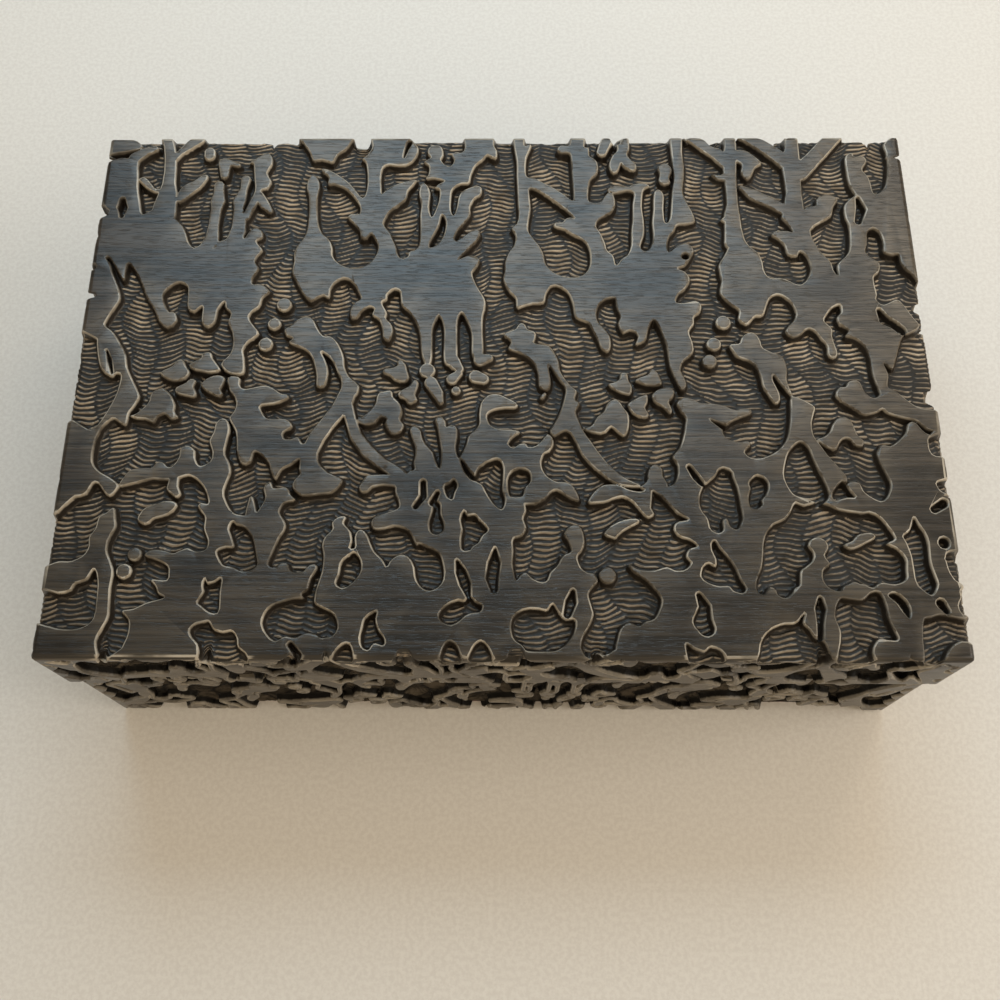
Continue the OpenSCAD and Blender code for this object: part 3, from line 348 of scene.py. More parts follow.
    hollow("199.4,118.2 201.6,119 202.6,121 202,123.6 200.4,125.6 200.4,127.2 198.6,128.4 197,127.8 "
           "196.6,125 197.4,122.4 197.2,120.2"),
    hollow("186.4,137.8 187.6,140 189.6,142.6 191.4,145.6 192.6,149 194,151.6 193,153 190.6,152.4 "
           "189.4,151 186.6,151 184,150.2 182,148.4 182.6,145.6 184.2,144.4 186,145.4 186.4,143.4 "
           "185.4,140.6 185.4,138.6"),
    hollow("181,153.6,.8 182.4,157,1.6 181.6,161,2.6 182.6,163,2.2"),
    hollow("176.6,167.4 179,168.8 181.6,169.6 183.4,168.2 186.6,170 187,175 178.6,175"),
    hollow("212.6,107.6 215,109.6 216,113 217.4,117 219,121.4 219.4,124.6 217,127 214.6,126 212,125 "
           "209.6,124 208,121.4 207.2,118 208,114 209.4,110.6"),
    hollow("223.6,119.8 225.4,122.6 226.8,124.8 224,125 221,125.8 220.4,123.6"),
    hollow("209.6,126.6 212,127.4 215,126.6 218.6,127 222,128.6 228,129.6 230.4,129.4 233,131 235,134 "
           "236.4,137.2 234,138.6 236.4,140 238.6,143 238.4,146.4 238,149 235,150.4 231,150 228.6,151.4 "
           "226,150.4 221.4,150.6 219.6,152.4 217,151.6 215.4,149.4 215.6,146.4 217.6,144.6 216.4,142.2 "
           "217.6,140 217.2,138 215.2,136.8 213,137.6 212.2,139.4 213.4,141.4 213,143.6 211,145.4 "
           "209.4,146.8 208.8,150.8 207.6,151.4 206.6,153 204.6,154.4 202.6,153.6 202,151.8 200.4,151.4 "
           "198.8,153.4 197,152.4 197,149.6 198.6,146 199.4,142 199.8,138.6 201,135.4 203,133 206,131.6 "
           "208,129.4"),
    raised("222.2,139 224.6,137.8 226.4,136 230,135.5 231,136.8 228.6,138.2 226,139.6 223.6,140.2"),
    hollow("242.4,130.8 243.6,133.4 245,136 245.4,139 245.2,144 246,148 246.4,150.6 244.6,153.4 "
           "242.4,152 240.8,149.6 240.6,146 240.4,142 239.6,138.6 238.8,136.4 241,134.4"),
    hollow("248.6,128.4,1.2 251.6,126.6,1.4"),
    hollow("250,138.4,1.7"),
    hollow("246.6,155.8,1.3 248,158,.9"),
    hollow("241.4,160.6 243.4,159.8 246,159 251,160 257,161 257,167 251,166.4 247.6,168.4 245.4,172 "
           "244,175 240.8,175 240.4,167"),
    hollow("219.6,154.4 222,154.6 225.6,154.8 228,152.8 230.4,152.8 231.6,156 232,160 233,163 233.8,166 "
           "231.4,166.2 229,165.8 227.4,167.4 226.6,170 227,175 217.6,175 217.2,171 218.2,167 "
           "218.6,163.6 217.6,160 218,157"),
    hollow("232.6,153.6 234.4,152.8 236.6,154.4 238,157 237.6,160 236,158 234.6,155.6"),
    hollow("214,154.6,.7 213.8,157.4,1.5 213.4,161.4,.9 213,166,.8"),
    hollow("209.6,158.6 208.8,161.4 210.4,163.4 212,166 214.2,168 213.4,175 196.6,175 196.4,169.6 "
           "197.4,166 199.6,163.4 203,161.8 206.6,161.4 208.6,159.4"),
    # stems, neck and long body of the fourth repeat
    raised("186.5,-1,1.8 191,3.2,2 195.5,7,2.2 198.4,10.5,2.2"),
    raised("199.8,-1,1.8 199.8,4,1.9 199.2,9,2.2 199,14,2 199,20,1.7 199,26,1.7 198.6,30,2.4 "
           "198.6,35,2.6 198.8,40,3.2"),
    raised("193.2,14.6 195.6,15.2 198,14 198.4,17.4 197,17 194.8,16.6"),
    raised("195,31.8 197,30.6 198,33.4 196.4,33"),
    raised("201.4,5.6 204.6,5.6 207.4,8 209.2,10.6 207,12.4 205.6,15.6 204,16.6 202.6,14 203,11 201,9"),
    raised("204,-1,1.8 209,2.6,2.2 213.5,6.4,2.4 217,10,2.6"),
    raised("219.6,-1,2 219.4,5,2.2 218.6,10,3 218.6,16,2.6 218.6,22,2.4 218,28,3.2"),
    raised("221,14,3 225.6,9,2.6 229,5,2.6 233.6,-1,2.6"),
    raised("202.4,19.8,.8 206,22.6,2 210.6,25.2,1.8 216,28.6,1.8"),
    raised("196,38 200.6,37.6 203,41.4 205.6,44 206.6,47 207,50.6 208.6,53 212.6,53.2 217.2,55.4 "
           "219.8,53.4 221.3,50 220.9,46.4 219.4,43.8 218.2,43.6 217.4,45.2 214.8,44.6 214,41.4 "
           "212.4,39.2 210.4,37.6 211.4,36.2 215,36 217,36.4 215.6,33.4 214,30.6 217,27 220.4,29.2 "
           "222,27.2 225,26.6 225.6,24 228,22.6 230.6,22.9 232,24.4 230.4,27 229.4,30.4 226.6,32.4 "
           "223.4,34.6 222.4,37 224,42 225.6,44.6 227.6,47.4 228.2,50.4 229.4,52 229.6,48.4 231,46.6 "
           "233.6,43.6 234.4,39 234.6,34 233.8,31 234,26.6 236.6,23.6 237.8,22.6 236.4,19 236,14 236,9 "
           "237,7 238.4,6.6 239,8 242,8 242.6,10 241,13 242.4,15.6 243,18 243.4,21.6 244.6,22.4 "
           "247.4,19.6 248.8,15 249.6,8 249.4,2.4 257,2 257,52 252,51 249.4,48 249,44.4 247,44.6 "
           "244.4,43.6 244.6,40.4 244,37 242,35 240,36.4 239.4,40.6 238.6,43.6 240.4,46 242.4,47.6 "
           "242,50.6 240,53 240.4,58.6 240,60.6 242,62.4 246,60.6 248,62 250,66 252.4,70 249,72 246.6,73 "
           "244.8,77 243.4,81 242,84 239.6,82 240.6,86 240,90 242.4,91.6 245.6,94.8 249,97 257,98.4 "
           "257,104 250.6,104 247,101 243,100 239,98.6 237.6,97.2 235.6,98.4 232,99 229.4,97.2 227,95.6 "
           "224.6,93.2 225.6,90.4 227.8,90 228.6,88.4 231,87.8 232.2,89 233,91.6 235.2,93.6 237.4,92.4 "
           "236.4,88 236,85 236,81.6 235.4,78 233.6,75 231,73.4 229.4,73 230.6,71 228,69 227.6,66.6 "
           "229,65 228.8,62.4 226.4,63.4 224.4,66 223.6,68 225.6,70.6 225.4,73.6 226.4,79 225,80.6 "
           "223.6,79.4 223.6,76.4 222,74 220.4,71.4 218.4,70.6 216,72.6 213.6,73.4 211.8,71.6 213,69.4 "
           "214.8,67.4 215.4,65 214.4,62 212.4,59.6 210,58.8 208,60 206.8,62.4 205.4,66 203,66.4 "
           "201.6,68 200,69.2 198,67.4 198.4,64.4 196.4,62.6 194,60 193,57.6 193.8,54 193.4,51 193.4,48 "
           "195.4,44.6 196.8,41"),
    hollow("238.4,24,.7 239,28,1.6 237.6,32.6,1.1"),
    hollow("240.4,64.4,.8 241.6,67.6,1.6 244.4,69.4,1.3 246.4,71.4,1.4"),
    raised("194.8,76 197.6,75.6 198.6,73.4 200.6,72 202.6,72.4 203.8,74.6 204.4,77 207,78.6 209.6,79.6 "
           "210.6,81.6 211,84.4 210.6,88 212,93.4 210.6,91.6 208.6,88.6 206.8,86 206.6,88 208,92 "
           "208,94.6 206.6,95.4 205.4,93.6 203.6,90 203,86 201.8,83 199.4,81.2 196.6,80 195.4,78"),
    raised("217.8,107 219.6,106.2 221.6,104.6 222.8,102 224.4,100.2 226.4,99.8 228,101 228.8,103.2 "
           "229.4,105.4 231,107.4 230.4,109 228.4,108.6 227.2,106.8 225.4,106.6 224,108 222.8,110 "
           "220.4,109.4"),
    raised("223.8,151.8,2"),
    # hollows that break the right edge
    hollow("249.6,108.6 250.6,106 257,105 257,111.8 252.5,112.2 250.2,111.4"),
    hollow("250.4,120.4 252.5,119.5 257,119.2 257,123.9 252.6,123.5 250.8,122.2"),
    hollow("250.2,141.6 252.4,140.7 257,141 257,150.2 252.6,149.7 250.8,147.6 250,144.4"),
    hollow("253,152 257,151.6 257,158.8 252.6,158.8 251.6,156.4 252.8,154.2"),
]

carving = {"columns": 741, "rows": 502, "farthest": 9.0, "bodyReach": 8}


def smoothOutline(points, steps=4):
    # Catmull-Rom curve through a closed ring of points.
    p = np.array(points)
    a, b, c, d = np.roll(p, 1, 0), p, np.roll(p, -1, 0), np.roll(p, -2, 0)
    t = (np.arange(steps) / steps)[None, :, None]
    a, b, c, d = (q[:, None, :] for q in (a, b, c, d))
    curve = b + 0.5 * t * (c - a + t * (2 * a - 5 * b + 4 * c - d + t * (3 * (b - c) + d - a)))
    return curve.reshape(-1, 2)


def outlineDistance(x, y, ring):
    # Signed distance to a closed outline, below zero inside: to its nearest segment, with the sign from the
    # number of crossings.
    best = np.full(x.shape, 1e9)
    inside = np.zeros(x.shape, bool)
    for (ax, ay), (bx, by) in zip(ring, np.roll(ring, -1, 0)):
        dx, dy = bx - ax, by - ay
        t = np.clip(((x - ax) * dx + (y - ay) * dy) / max(dx * dx + dy * dy, 1e-9), 0, 1)
        best = np.minimum(best, (x - ax - t * dx) ** 2 + (y - ay - t * dy) ** 2)
        if ay != by:
            inside ^= ((ay > y) != (by > y)) & (x < ax + (y - ay) * dx / dy)
    return np.where(inside, -1, 1) * np.sqrt(best)


def strokeDistance(x, y, path):
    # Signed distance to a stroke whose half width runs evenly from point to point.
    best = np.full(x.shape, 1e9)
    for (ax, ay, aw), (bx, by, bw) in zip(path, path[1:] or path):
        dx, dy = bx - ax, by - ay
        t = np.clip(((x - ax) * dx + (y - ay) * dy) / max(dx * dx + dy * dy, 1e-9), 0, 1)
        best = np.minimum(best, np.hypot(x - ax - t * dx, y - ay - t * dy) - aw - t * (bw - aw))
    return best


def drawCarving(shapes, x, y, margin=4):
    # Distance to the edge of the raised wood, below zero on it. A raised shape takes the lesser of the
    # field and its own distance, and a hollow the greater of the field and minus its own. Each shape
    # works on its own part of the grid.
    field = np.full((len(y), len(x)), carving["farthest"])
    for sign, points in shapes:
        stroke = len(points[0]) == 3
        ring = np.array(points)[:, :2] if stroke else smoothOutline(points)
        reach = margin + (max(p[2] for p in points) if stroke else 0)
        columns = slice(*np.searchsorted(x, (ring[:, 0].min() - reach, ring[:, 0].max() + reach)))
        rows = slice(*np.searchsorted(y, (ring[:, 1].min() - reach, ring[:, 1].max() + reach)))
        gx, gy = np.meshgrid(x[columns], y[rows])
        if not gx.size:
            continue
        d = strokeDistance(gx, gy, points) if stroke else outlineDistance(gx, gy, ring)
        old = field[rows, columns]
        field[rows, columns] = np.minimum(old, d) if sign > 0 else np.maximum(old, -d)
    return field


def evenDistance(field, x, y, pad=16):
    # The field made a true distance again: every edge crossing on the grid is a seed, and each cell takes
    # the nearest seed that its neighbours know, from far neighbours to near ones.
    gx, gy = np.meshgrid(x, y)
    nowhere = 1e6
    sx, sy = np.full(field.shape, nowhere), np.full(field.shape, nowhere)
    for down, right in ((0, 1), (1, 0)):
        near = (slice(0, field.shape[0] - down), slice(0, field.shape[1] - right))
        far = (slice(down, None), slice(right, None))
        a, b = field[near], field[far]
        cross = (a < 0) != (b < 0)
        t = np.where(cross, a / np.where(cross, a - b, 1), 0)
        cx = gx[near] + t * (gx[far] - gx[near])
        cy = gy[near] + t * (gy[far] - gy[near])
        for part in (near, far):
            known = np.hypot(sx[part] - gx[part], sy[part] - gy[part])
            closer = cross & (np.hypot(cx - gx[part], cy - gy[part]) < known)
            sx[part] = np.where(closer, cx, sx[part])
            sy[part] = np.where(closer, cy, sy[part])
    for stride in (16, 8, 4, 2, 1, 1):
        bigX = np.pad(sx, pad, constant_values=nowhere)
        bigY = np.pad(sy, pad, constant_values=nowhere)
        for i in (-stride, 0, stride):
            for j in (-stride, 0, stride):
                beside = (slice(pad + i, pad + i + sx.shape[0]), slice(pad + j, pad + j + sx.shape[1]))
                nx, ny = bigX[beside], bigY[beside]
                closer = np.hypot(nx - gx, ny - gy) < np.hypot(sx - gx, sy - gy)
                sx = np.where(closer, nx, sx)
                sy = np.where(closer, ny, sy)
    return np.clip(np.hypot(sx - gx, sy - gy), 0, carving["farthest"]) * np.sign(field)


def boxMean(values, reach):
    # Mean over a square of cells, from running sums along each axis.
    for _ in (0, 1):
        total = np.cumsum(np.pad(values, ((reach + 1, reach), (0, 0)), mode="edge"), 0)
        values = ((total[2 * reach + 1:] - total[:-2 * reach - 1]) / (2 * reach + 1)).T
    return values


carveX = np.linspace(0, lidWide, carving["columns"])
carveY = np.linspace(0, lidDeep, carving["rows"])
carveField = evenDistance(drawCarving(topCarving, carveX, carveY), carveX, carveY)
bodyField = np.where(carveField < 0, 1.0, 0.0)  # share of raised wood nearby, smoothed twice
for _ in (0, 1):
    bodyField = boxMean(bodyField, carving["bodyReach"])
print("stage: carving drawn, raised share", round(float((carveField < 0).mean()), 3))


def readField(field, x, y):
    # Bilinear reading of a field of the carving at places in millimetres.
    c = np.clip(x / carveX[1], 0, len(carveX) - 1.001)
    r = np.clip(y / carveY[1], 0, len(carveY) - 1.001)
    i, j = r.astype(int), c.astype(int)
    s, t = r - i, c - j
    upper = field[i, j] * (1 - t) + field[i, j + 1] * t
    lower = field[i + 1, j] * (1 - t) + field[i + 1, j + 1] * t
    return upper * (1 - s) + lower * s


relief = {"depth": 2.7, "uneven": 0.18, "worn": 0.4, "slope": 0.65, "wall": 0.85,
          "ridgeEvery": 1.6, "ridgeHeight": 0.7, "ridgeSink": 0.6, "strokeWide": 8}


def reliefDepth(d, x, y):
    # Depth below the raised level, and how near a chisel ridge's crest a point is.
    # Raised wood is level up to its worn chamfer, and the wall falls as 1-(1-t)^2. The ground is cut in
    # upright strokes side by side, each ribbed across as |sin|. Ribs arch, wander, lean and start anew in
    # each stroke.
    worn, wall = relief["worn"], relief["wall"]
    slow = np.sin(0.045 * x + 0.06 * y + 0.4) + np.sin(0.083 * x - 0.051 * y + 2.2)
    ground = relief["depth"] + relief["uneven"] * slow - relief["slope"] * worn
    t = np.clip(d / wall, 0, 1)
    depth = relief["slope"] * np.clip(d + worn, 0, worn) + ground * (1 - (1 - t) ** 2)
    stroke = x / relief["strokeWide"] + 0.35 * np.sin(0.09 * y + 1.3) + 0.3 * np.sin(0.05 * x + 0.21 * y)
    number = np.floor(stroke)
    across = 2 * (stroke - number) - 1
    bend = 1.1 * np.sin(0.13 * x + 0.03 * y + 1) + 0.6 * np.sin(0.31 * x - 0.05 * y + 2)
    bend = bend + 0.2 * np.sin(0.9 * x + 0.3 * y)
    lean = 0.2 * x * np.sin(2.4 * number)
    phase = (y + bend + lean) / relief["ridgeEvery"] + 0.618 * number + 0.3 * across ** 2
    valley = np.abs(np.sin(np.pi * phase))
    own = 0.78 + 0.22 * np.sin(12.9 * np.floor(phase + 0.5) + 4.1 * number)
    fade = own * np.clip((d - 0.6 * wall) / 0.6, 0, 1) * (1 - 0.7 * across ** 8)
    return depth + fade * relief["ridgeHeight"] * (valley - relief["ridgeSink"]), fade * (1 - valley)


def snapGrid(x, y, d):
    # Moves grid points that lie near an edge line of the relief onto it, along the distance's gradient.
    down, right = np.gradient(d, y[:, 0], x[0])
    steep = np.maximum(down ** 2 + right ** 2, 0.3)
    reach = 0.5 * min(x[0, 1] - x[0, 0], y[1, 0] - y[0, 0])
    inner = np.pad(np.ones((d.shape[0] - 2, d.shape[1] - 2), bool), 1)
    for line in (-relief["worn"], 0, relief["wall"]):
        move = np.where(inner & (np.abs(d - line) < reach), (line - d) / steep, 0)
        x = x + move * right
        y = y + move * down
    return x, y


# Each side shows a part of the same carving: start x, start y and direction along x. A side's seam is its
# distance below the upper edge.
lidSides = {"wide": lidWide, "deep": lidDeep, "round": 1.6, "edge": True,
            "seam": topHigh[2] - boxInMm("lid_front_rail")[0][2],
            "front": (0, 98, 1), "right": (18, 34, 1), "back": (254, 44, -1), "left": (236, 96, -1)}
baseSides = {"wide": baseWide, "deep": baseDeep, "round": 1.6, "edge": False, "seam": 0,
             "front": (252.5, 62, -1), "right": (212, 4, -1), "back": (2, 100, 1), "left": (40, 118, 1)}
border = {"end": 2.7, "edge": 1.2, "seam": 4.6, "secondIn": 0.4, "apart": 1.3}


def sideRelief(sides, side, u, v):
    # Relief of a side at u along it and v below its upper edge: depth, ridge, distance and body share. On
    # the front the carving turned half round also cuts into broad raised wood. The ends, most of the lid's
    # upper edge and the back along its seam are left raised, with a border that waves as a sum of sines.
    start = sides[side]
    x, y = start[0] + start[2] * u, start[1] + v
    long = sides["wide"] if side in ("front", "back") else sides["deep"]
    d = readField(carveField, x, y)
    if side == "front":
        second = readField(carveField, lidWide - x, lidDeep - y)
        d = np.maximum(d, np.minimum(second - border["secondIn"], -d - border["apart"]))
    d = np.minimum(d, np.minimum(u, long - u) - border["end"] - 1.2 * np.sin(0.75 * v + start[0]))
    if sides["edge"]:
        d = np.minimum(d, v - border["edge"] - 1.3 * np.sin(0.23 * u + start[0]) - 0.9 * np.sin(0.61 * u))
    if side == "back":
        wave = 0.7 * np.sin(0.31 * u) + 0.5 * np.sin(0.83 * u)
        d = np.minimum(d, np.abs(v - sides["seam"]) - border["seam"] - wave)
    depth, ridge = reliefDepth(d, x, y)
    return depth, ridge, d, readField(bodyField, x, y)


def roundOver(e, r):
    # How far a rounded edge of radius r stands back at a distance e from the corner.
    gap = r - np.clip(e, 0, r)
    return r - np.sqrt(r * r - gap * gap)


def gridFaces(rows, columns, first=0):
    # Quads of a grid of points that is stored row by row.
    index = first + np.arange(rows * columns).reshape(rows, columns)
    return np.stack([index[:-1, :-1], index[:-1, 1:], index[1:, 1:], index[1:, :-1]], -1).reshape(-1, 4)


def makePiece(name, points, faces, values=None):
    # One closed mesh from points in millimetres; equal points are joined and faces turned outward.
    joined, where, back = np.unique(np.round(points, 4), axis=0, return_index=True, return_inverse=True)
    back = back.reshape(-1)
    mesh = bpy.data.meshes.new(name)
    mesh.from_pydata((joined * mm).tolist(), [], [back[np.asarray(face)].tolist() for face in faces])
    for key, value in (values or {}).items():
        layer = mesh.attributes.new(key, "FLOAT", "POINT")
        layer.data.foreach_set("value", value[where].astype(np.float32))
    work = bmesh.new()
    work.from_mesh(mesh)
    bmesh.ops.dissolve_degenerate(work, edges=work.edges, dist=1e-7)
    bmesh.ops.recalc_face_normals(work, faces=work.faces)
    work.to_mesh(mesh)
    work.free()
    piece = bpy.data.objects.new(name, mesh)
    bpy.context.scene.collection.objects.link(piece)
    return piece


def settle(piece):
    # Replaces a piece's mesh by what its modifiers make of it.
    graph = bpy.context.evaluated_depsgraph_get()
    made = piece.evaluated_get(graph)
    done = bpy.data.meshes.new_from_object(made, preserve_all_data_layers=True, depsgraph=graph)
    piece.modifiers.clear()
    old, piece.data = piece.data, done
    bpy.data.meshes.remove(old)


def thin(piece, triangles):
    # Collapses the flattest edges down to a number of triangles.
    now = sum(len(p.vertices) - 2 for p in piece.data.polygons)
    if now > triangles:
        piece.modifiers.new("thin", "DECIMATE").ratio = triangles / now
        settle(piece)


levelWood = {"carve": -5, "upright": 0.985, "shallow": 0.22, "under": -0.9, "sharp": 35, "weight": 100}


def shadeWood(piece, depth, values):
    # Writes the wood's values on the face corners, where a face that is level all over, or looks down,
    # counts as level wood. Then smooth shading that breaks at sharp edges and leaves large faces level.
    mesh = piece.data
    corner = np.zeros(len(mesh.loops), np.int32)
    mesh.loops.foreach_get("vertex_index", corner)
    first = np.zeros(len(mesh.polygons), np.int32)
    mesh.polygons.foreach_get("loop_start", first)
    normal = np.zeros(len(first) * 3, np.float32)
    mesh.polygons.foreach_get("normal", normal)
    normal = normal.reshape(-1, 3)
    count = np.diff(np.append(first, len(corner)))
    shallow = np.add.reduceat(depth[corner], first) / count < levelWood["shallow"]
    level = shallow & (np.abs(normal).max(1) > levelWood["upright"])
    level = np.repeat(level | (normal[:, 2] < levelWood["under"]), count)
    for key, value in values.items():
        value = np.where(level & (key == "carve"), levelWood["carve"], value[corner])
        layer = mesh.attributes.new(key, "FLOAT", "CORNER")
        layer.data.foreach_set("value", value.astype(np.float32))
    mesh.polygons.foreach_set("use_smooth", np.ones(len(mesh.polygons), bool))
    mesh.set_sharp_from_angle(angle=math.radians(levelWood["sharp"]))
    normals = piece.modifiers.new("level", "WEIGHTED_NORMAL")
    normals.weight = levelWood["weight"]
    normals.keep_sharp = True
    settle(piece)


def readPoints(piece):
    # A piece's points in millimetres.
    flat = np.zeros(len(piece.data.vertices) * 3, np.float32)
    piece.data.vertices.foreach_get("co", flat)
    return flat.reshape(-1, 3) / mm


def takeValue(piece, key):
    # Reads a value that is kept on the points, and takes it off them.
    flat = np.zeros(len(piece.data.vertices), np.float32)
    layer = piece.data.attributes[key]
    layer.data.foreach_get("value", flat)
    piece.data.attributes.remove(layer)
    return flat


def keepInside(piece, node):
    # Holds every point within the CAD node's box.
    low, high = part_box(node)
    points = np.clip(readPoints(piece) * mm, low, high)
    piece.data.vertices.foreach_set("co", points.astype(np.float32).ravel())


topPiece = {"triangles": 192000, "soft": 0.5, "softWidth": 1.4, "pull": 9, "pullShare": 0.92,
            "bandRows": 19, "round": 1.6}


def topBoard():
    # The top's surface: level minus the relief. Toward each edge it is drawn in by that side's relief, and
    # each side band sinks at its upper rim by the top's relief, so that hollows cut through the edge.
    high = topHigh[2] - topLow[2]

    def falling(e, width):
        # From 1 at the edge to 0 at the width, as (1-e/width)^2.
        return np.clip(1 - e / width, 0, 1) ** 2

    def inset(side, u, v, e):
        # How far a side's relief and softened edge draw in a point that lies e from that side.
        depth = sideRelief(lidSides, side, u, v)[0] * topPiece["pullShare"]
        depth = depth + topPiece["soft"] * falling(v, topPiece["softWidth"])
        return depth * falling(e, topPiece["pull"])

    def place(x, y, v, drop):
        # Points at x and y, v below the raised level, and lower by the drop, which fades down the band.
        px = x + inset("left", y, v, x) - inset("right", lidDeep - y, v, lidWide - x)
        py = y + inset("back", lidWide - x, v, y) - inset("front", x, v, lidDeep - y)
        pz = topHigh[2] - v - falling(v, high) * drop
        return np.stack([topLow[0] + px, topHigh[1] - py, pz], -1).reshape(-1, 3)

    x, y = snapGrid(*np.meshgrid(carveX, carveY), carveField)
    d = readField(carveField, x, y)
    drop, ridge = reliefDepth(d, x, y)
    edge = np.minimum(np.minimum(x, lidWide - x), np.minimum(y, lidDeep - y))
    drop = drop + topPiece["soft"] * falling(edge, topPiece["softWidth"])
    points = [place(x, y, 0 * x, drop)]
    faces = [gridFaces(*x.shape)]
    values = {"carve": [d], "ridge": [ridge], "body": [readField(bodyField, x, y)], "depth": [drop]}
    rows = np.linspace(0, high, topPiece["bandRows"])
    rim = []
    for side, line, flip in (("front", (-1, slice(None)), False), ("right", (slice(None), -1), True),
                             ("back", (0, slice(None)), True), ("left", (slice(None), 0), False)):
        alongX = side in ("front", "back")
        u0 = carveX if alongX else carveY
        u, v = np.meshgrid(u0, rows)
        u, v = snapGrid(u, v, sideRelief(lidSides, side, u, v)[2])
        depth, bandRidge, d, body = sideRelief(lidSides, side, u, v)
        run = (u0[-1] - u) if flip else u
        far = {"front": lidDeep, "right": lidWide, "back": 0, "left": 0}[side]
        bx, by = (run, far + 0 * u) if alongX else (far + 0 * u, run)
        first = sum(len(block) for block in points)
        points.append(place(bx, by, v, np.interp(run, u0, drop[line])))
        faces.append(gridFaces(*u.shape, first))
        for key, value in (("carve", d), ("ridge", bandRidge), ("body", body), ("depth", depth)):
            values[key].append(value)
        rim.append(first + (len(rows) - 1) * len(u0) + np.arange(len(u0) - 1))
    points = np.concatenate(points)
    # Upright corners: the last few millimetres of the square are mapped onto a disc.
    r = topPiece["round"]
    a = np.clip((np.abs(points[:, 0]) - lidWide / 2 + r) / r, 0, 1)
    b = np.clip((np.abs(points[:, 1]) - lidDeep / 2 + r) / r, 0, 1)
    points[:, 0] -= np.sign(points[:, 0]) * r * a * (1 - np.sqrt(1 - b * b / 2))
    points[:, 1] -= np.sign(points[:, 1]) * r * b * (1 - np.sqrt(1 - a * a / 2))
    polygons = [face for block in faces for face in block] + [np.concatenate(rim)]
    values = {key: np.concatenate([block.ravel() for block in value]) for key, value in values.items()}
    piece = makePiece("carvedTop", points, polygons, values)
    thin(piece, topPiece["triangles"])
    keepInside(piece, "lid_top_board")
    taken = {key: takeValue(piece, key) for key in values}
    shadeWood(piece, taken.pop("depth"), taken)
    return piece


def looseCopy(node):
    # A CAD node's solid as one closed mesh, to cut with.
    source = bpy.data.objects[node]
    mesh = source.data.copy()
    mesh.transform(source.matrix_world)
    work = bmesh.new()
    work.from_mesh(mesh)
    bmesh.ops.remove_doubles(work, verts=work.verts, dist=2e-6)
    bmesh.ops.recalc_face_normals(work, faces=work.faces)
    work.to_mesh(mesh)
    work.free()
    copy = bpy.data.objects.new(node + "Cut", mesh)
    bpy.context.scene.collection.objects.link(copy)
    return copy


def mitredBoard(node, side, low, high, profile):
    # A plain board to cut with: its profile, inward distance and height, run along the side between mitres.
    start, along, inward = (np.array(q, float) for q in sideFrame(side, low, high))
    long = (high - low) @ np.abs(np.append(along, 0))
    inset, z = np.array(profile).T
    ends = [np.column_stack([start + u[:, None] * along + inset[:, None] * inward, z])
            for u in (inset, long - inset)]
    n = len(profile)
    ring = np.arange(n)
    around = np.stack([ring, np.roll(ring, -1), np.roll(ring, -1) + n, ring + n], -1)
    return makePiece(node + "Cut", np.concatenate(ends), list(around) + [ring, ring + n])


sidePiece = {"step": 0.4, "skin": 0.02, "margin": 1.37, "back": 20, "keep": 0.36, "soft": 0.4,
             "softWidth": 1.2, "onFace": 0.35, "fewest": 1000}


def sideFrame(side, low, high):
    # Corner where u starts, direction of u, and the direction into the wood, seen from outside.
    return {"front": ((low[0], low[1]), (1, 0), (0, 1)),
            "right": ((high[0], low[1]), (0, 1), (-1, 0)),
            "back": ((high[0], high[1]), (-1, 0), (0, -1)),
            "left": ((low[0], high[1]), (0, -1), (1, 0))}[side]


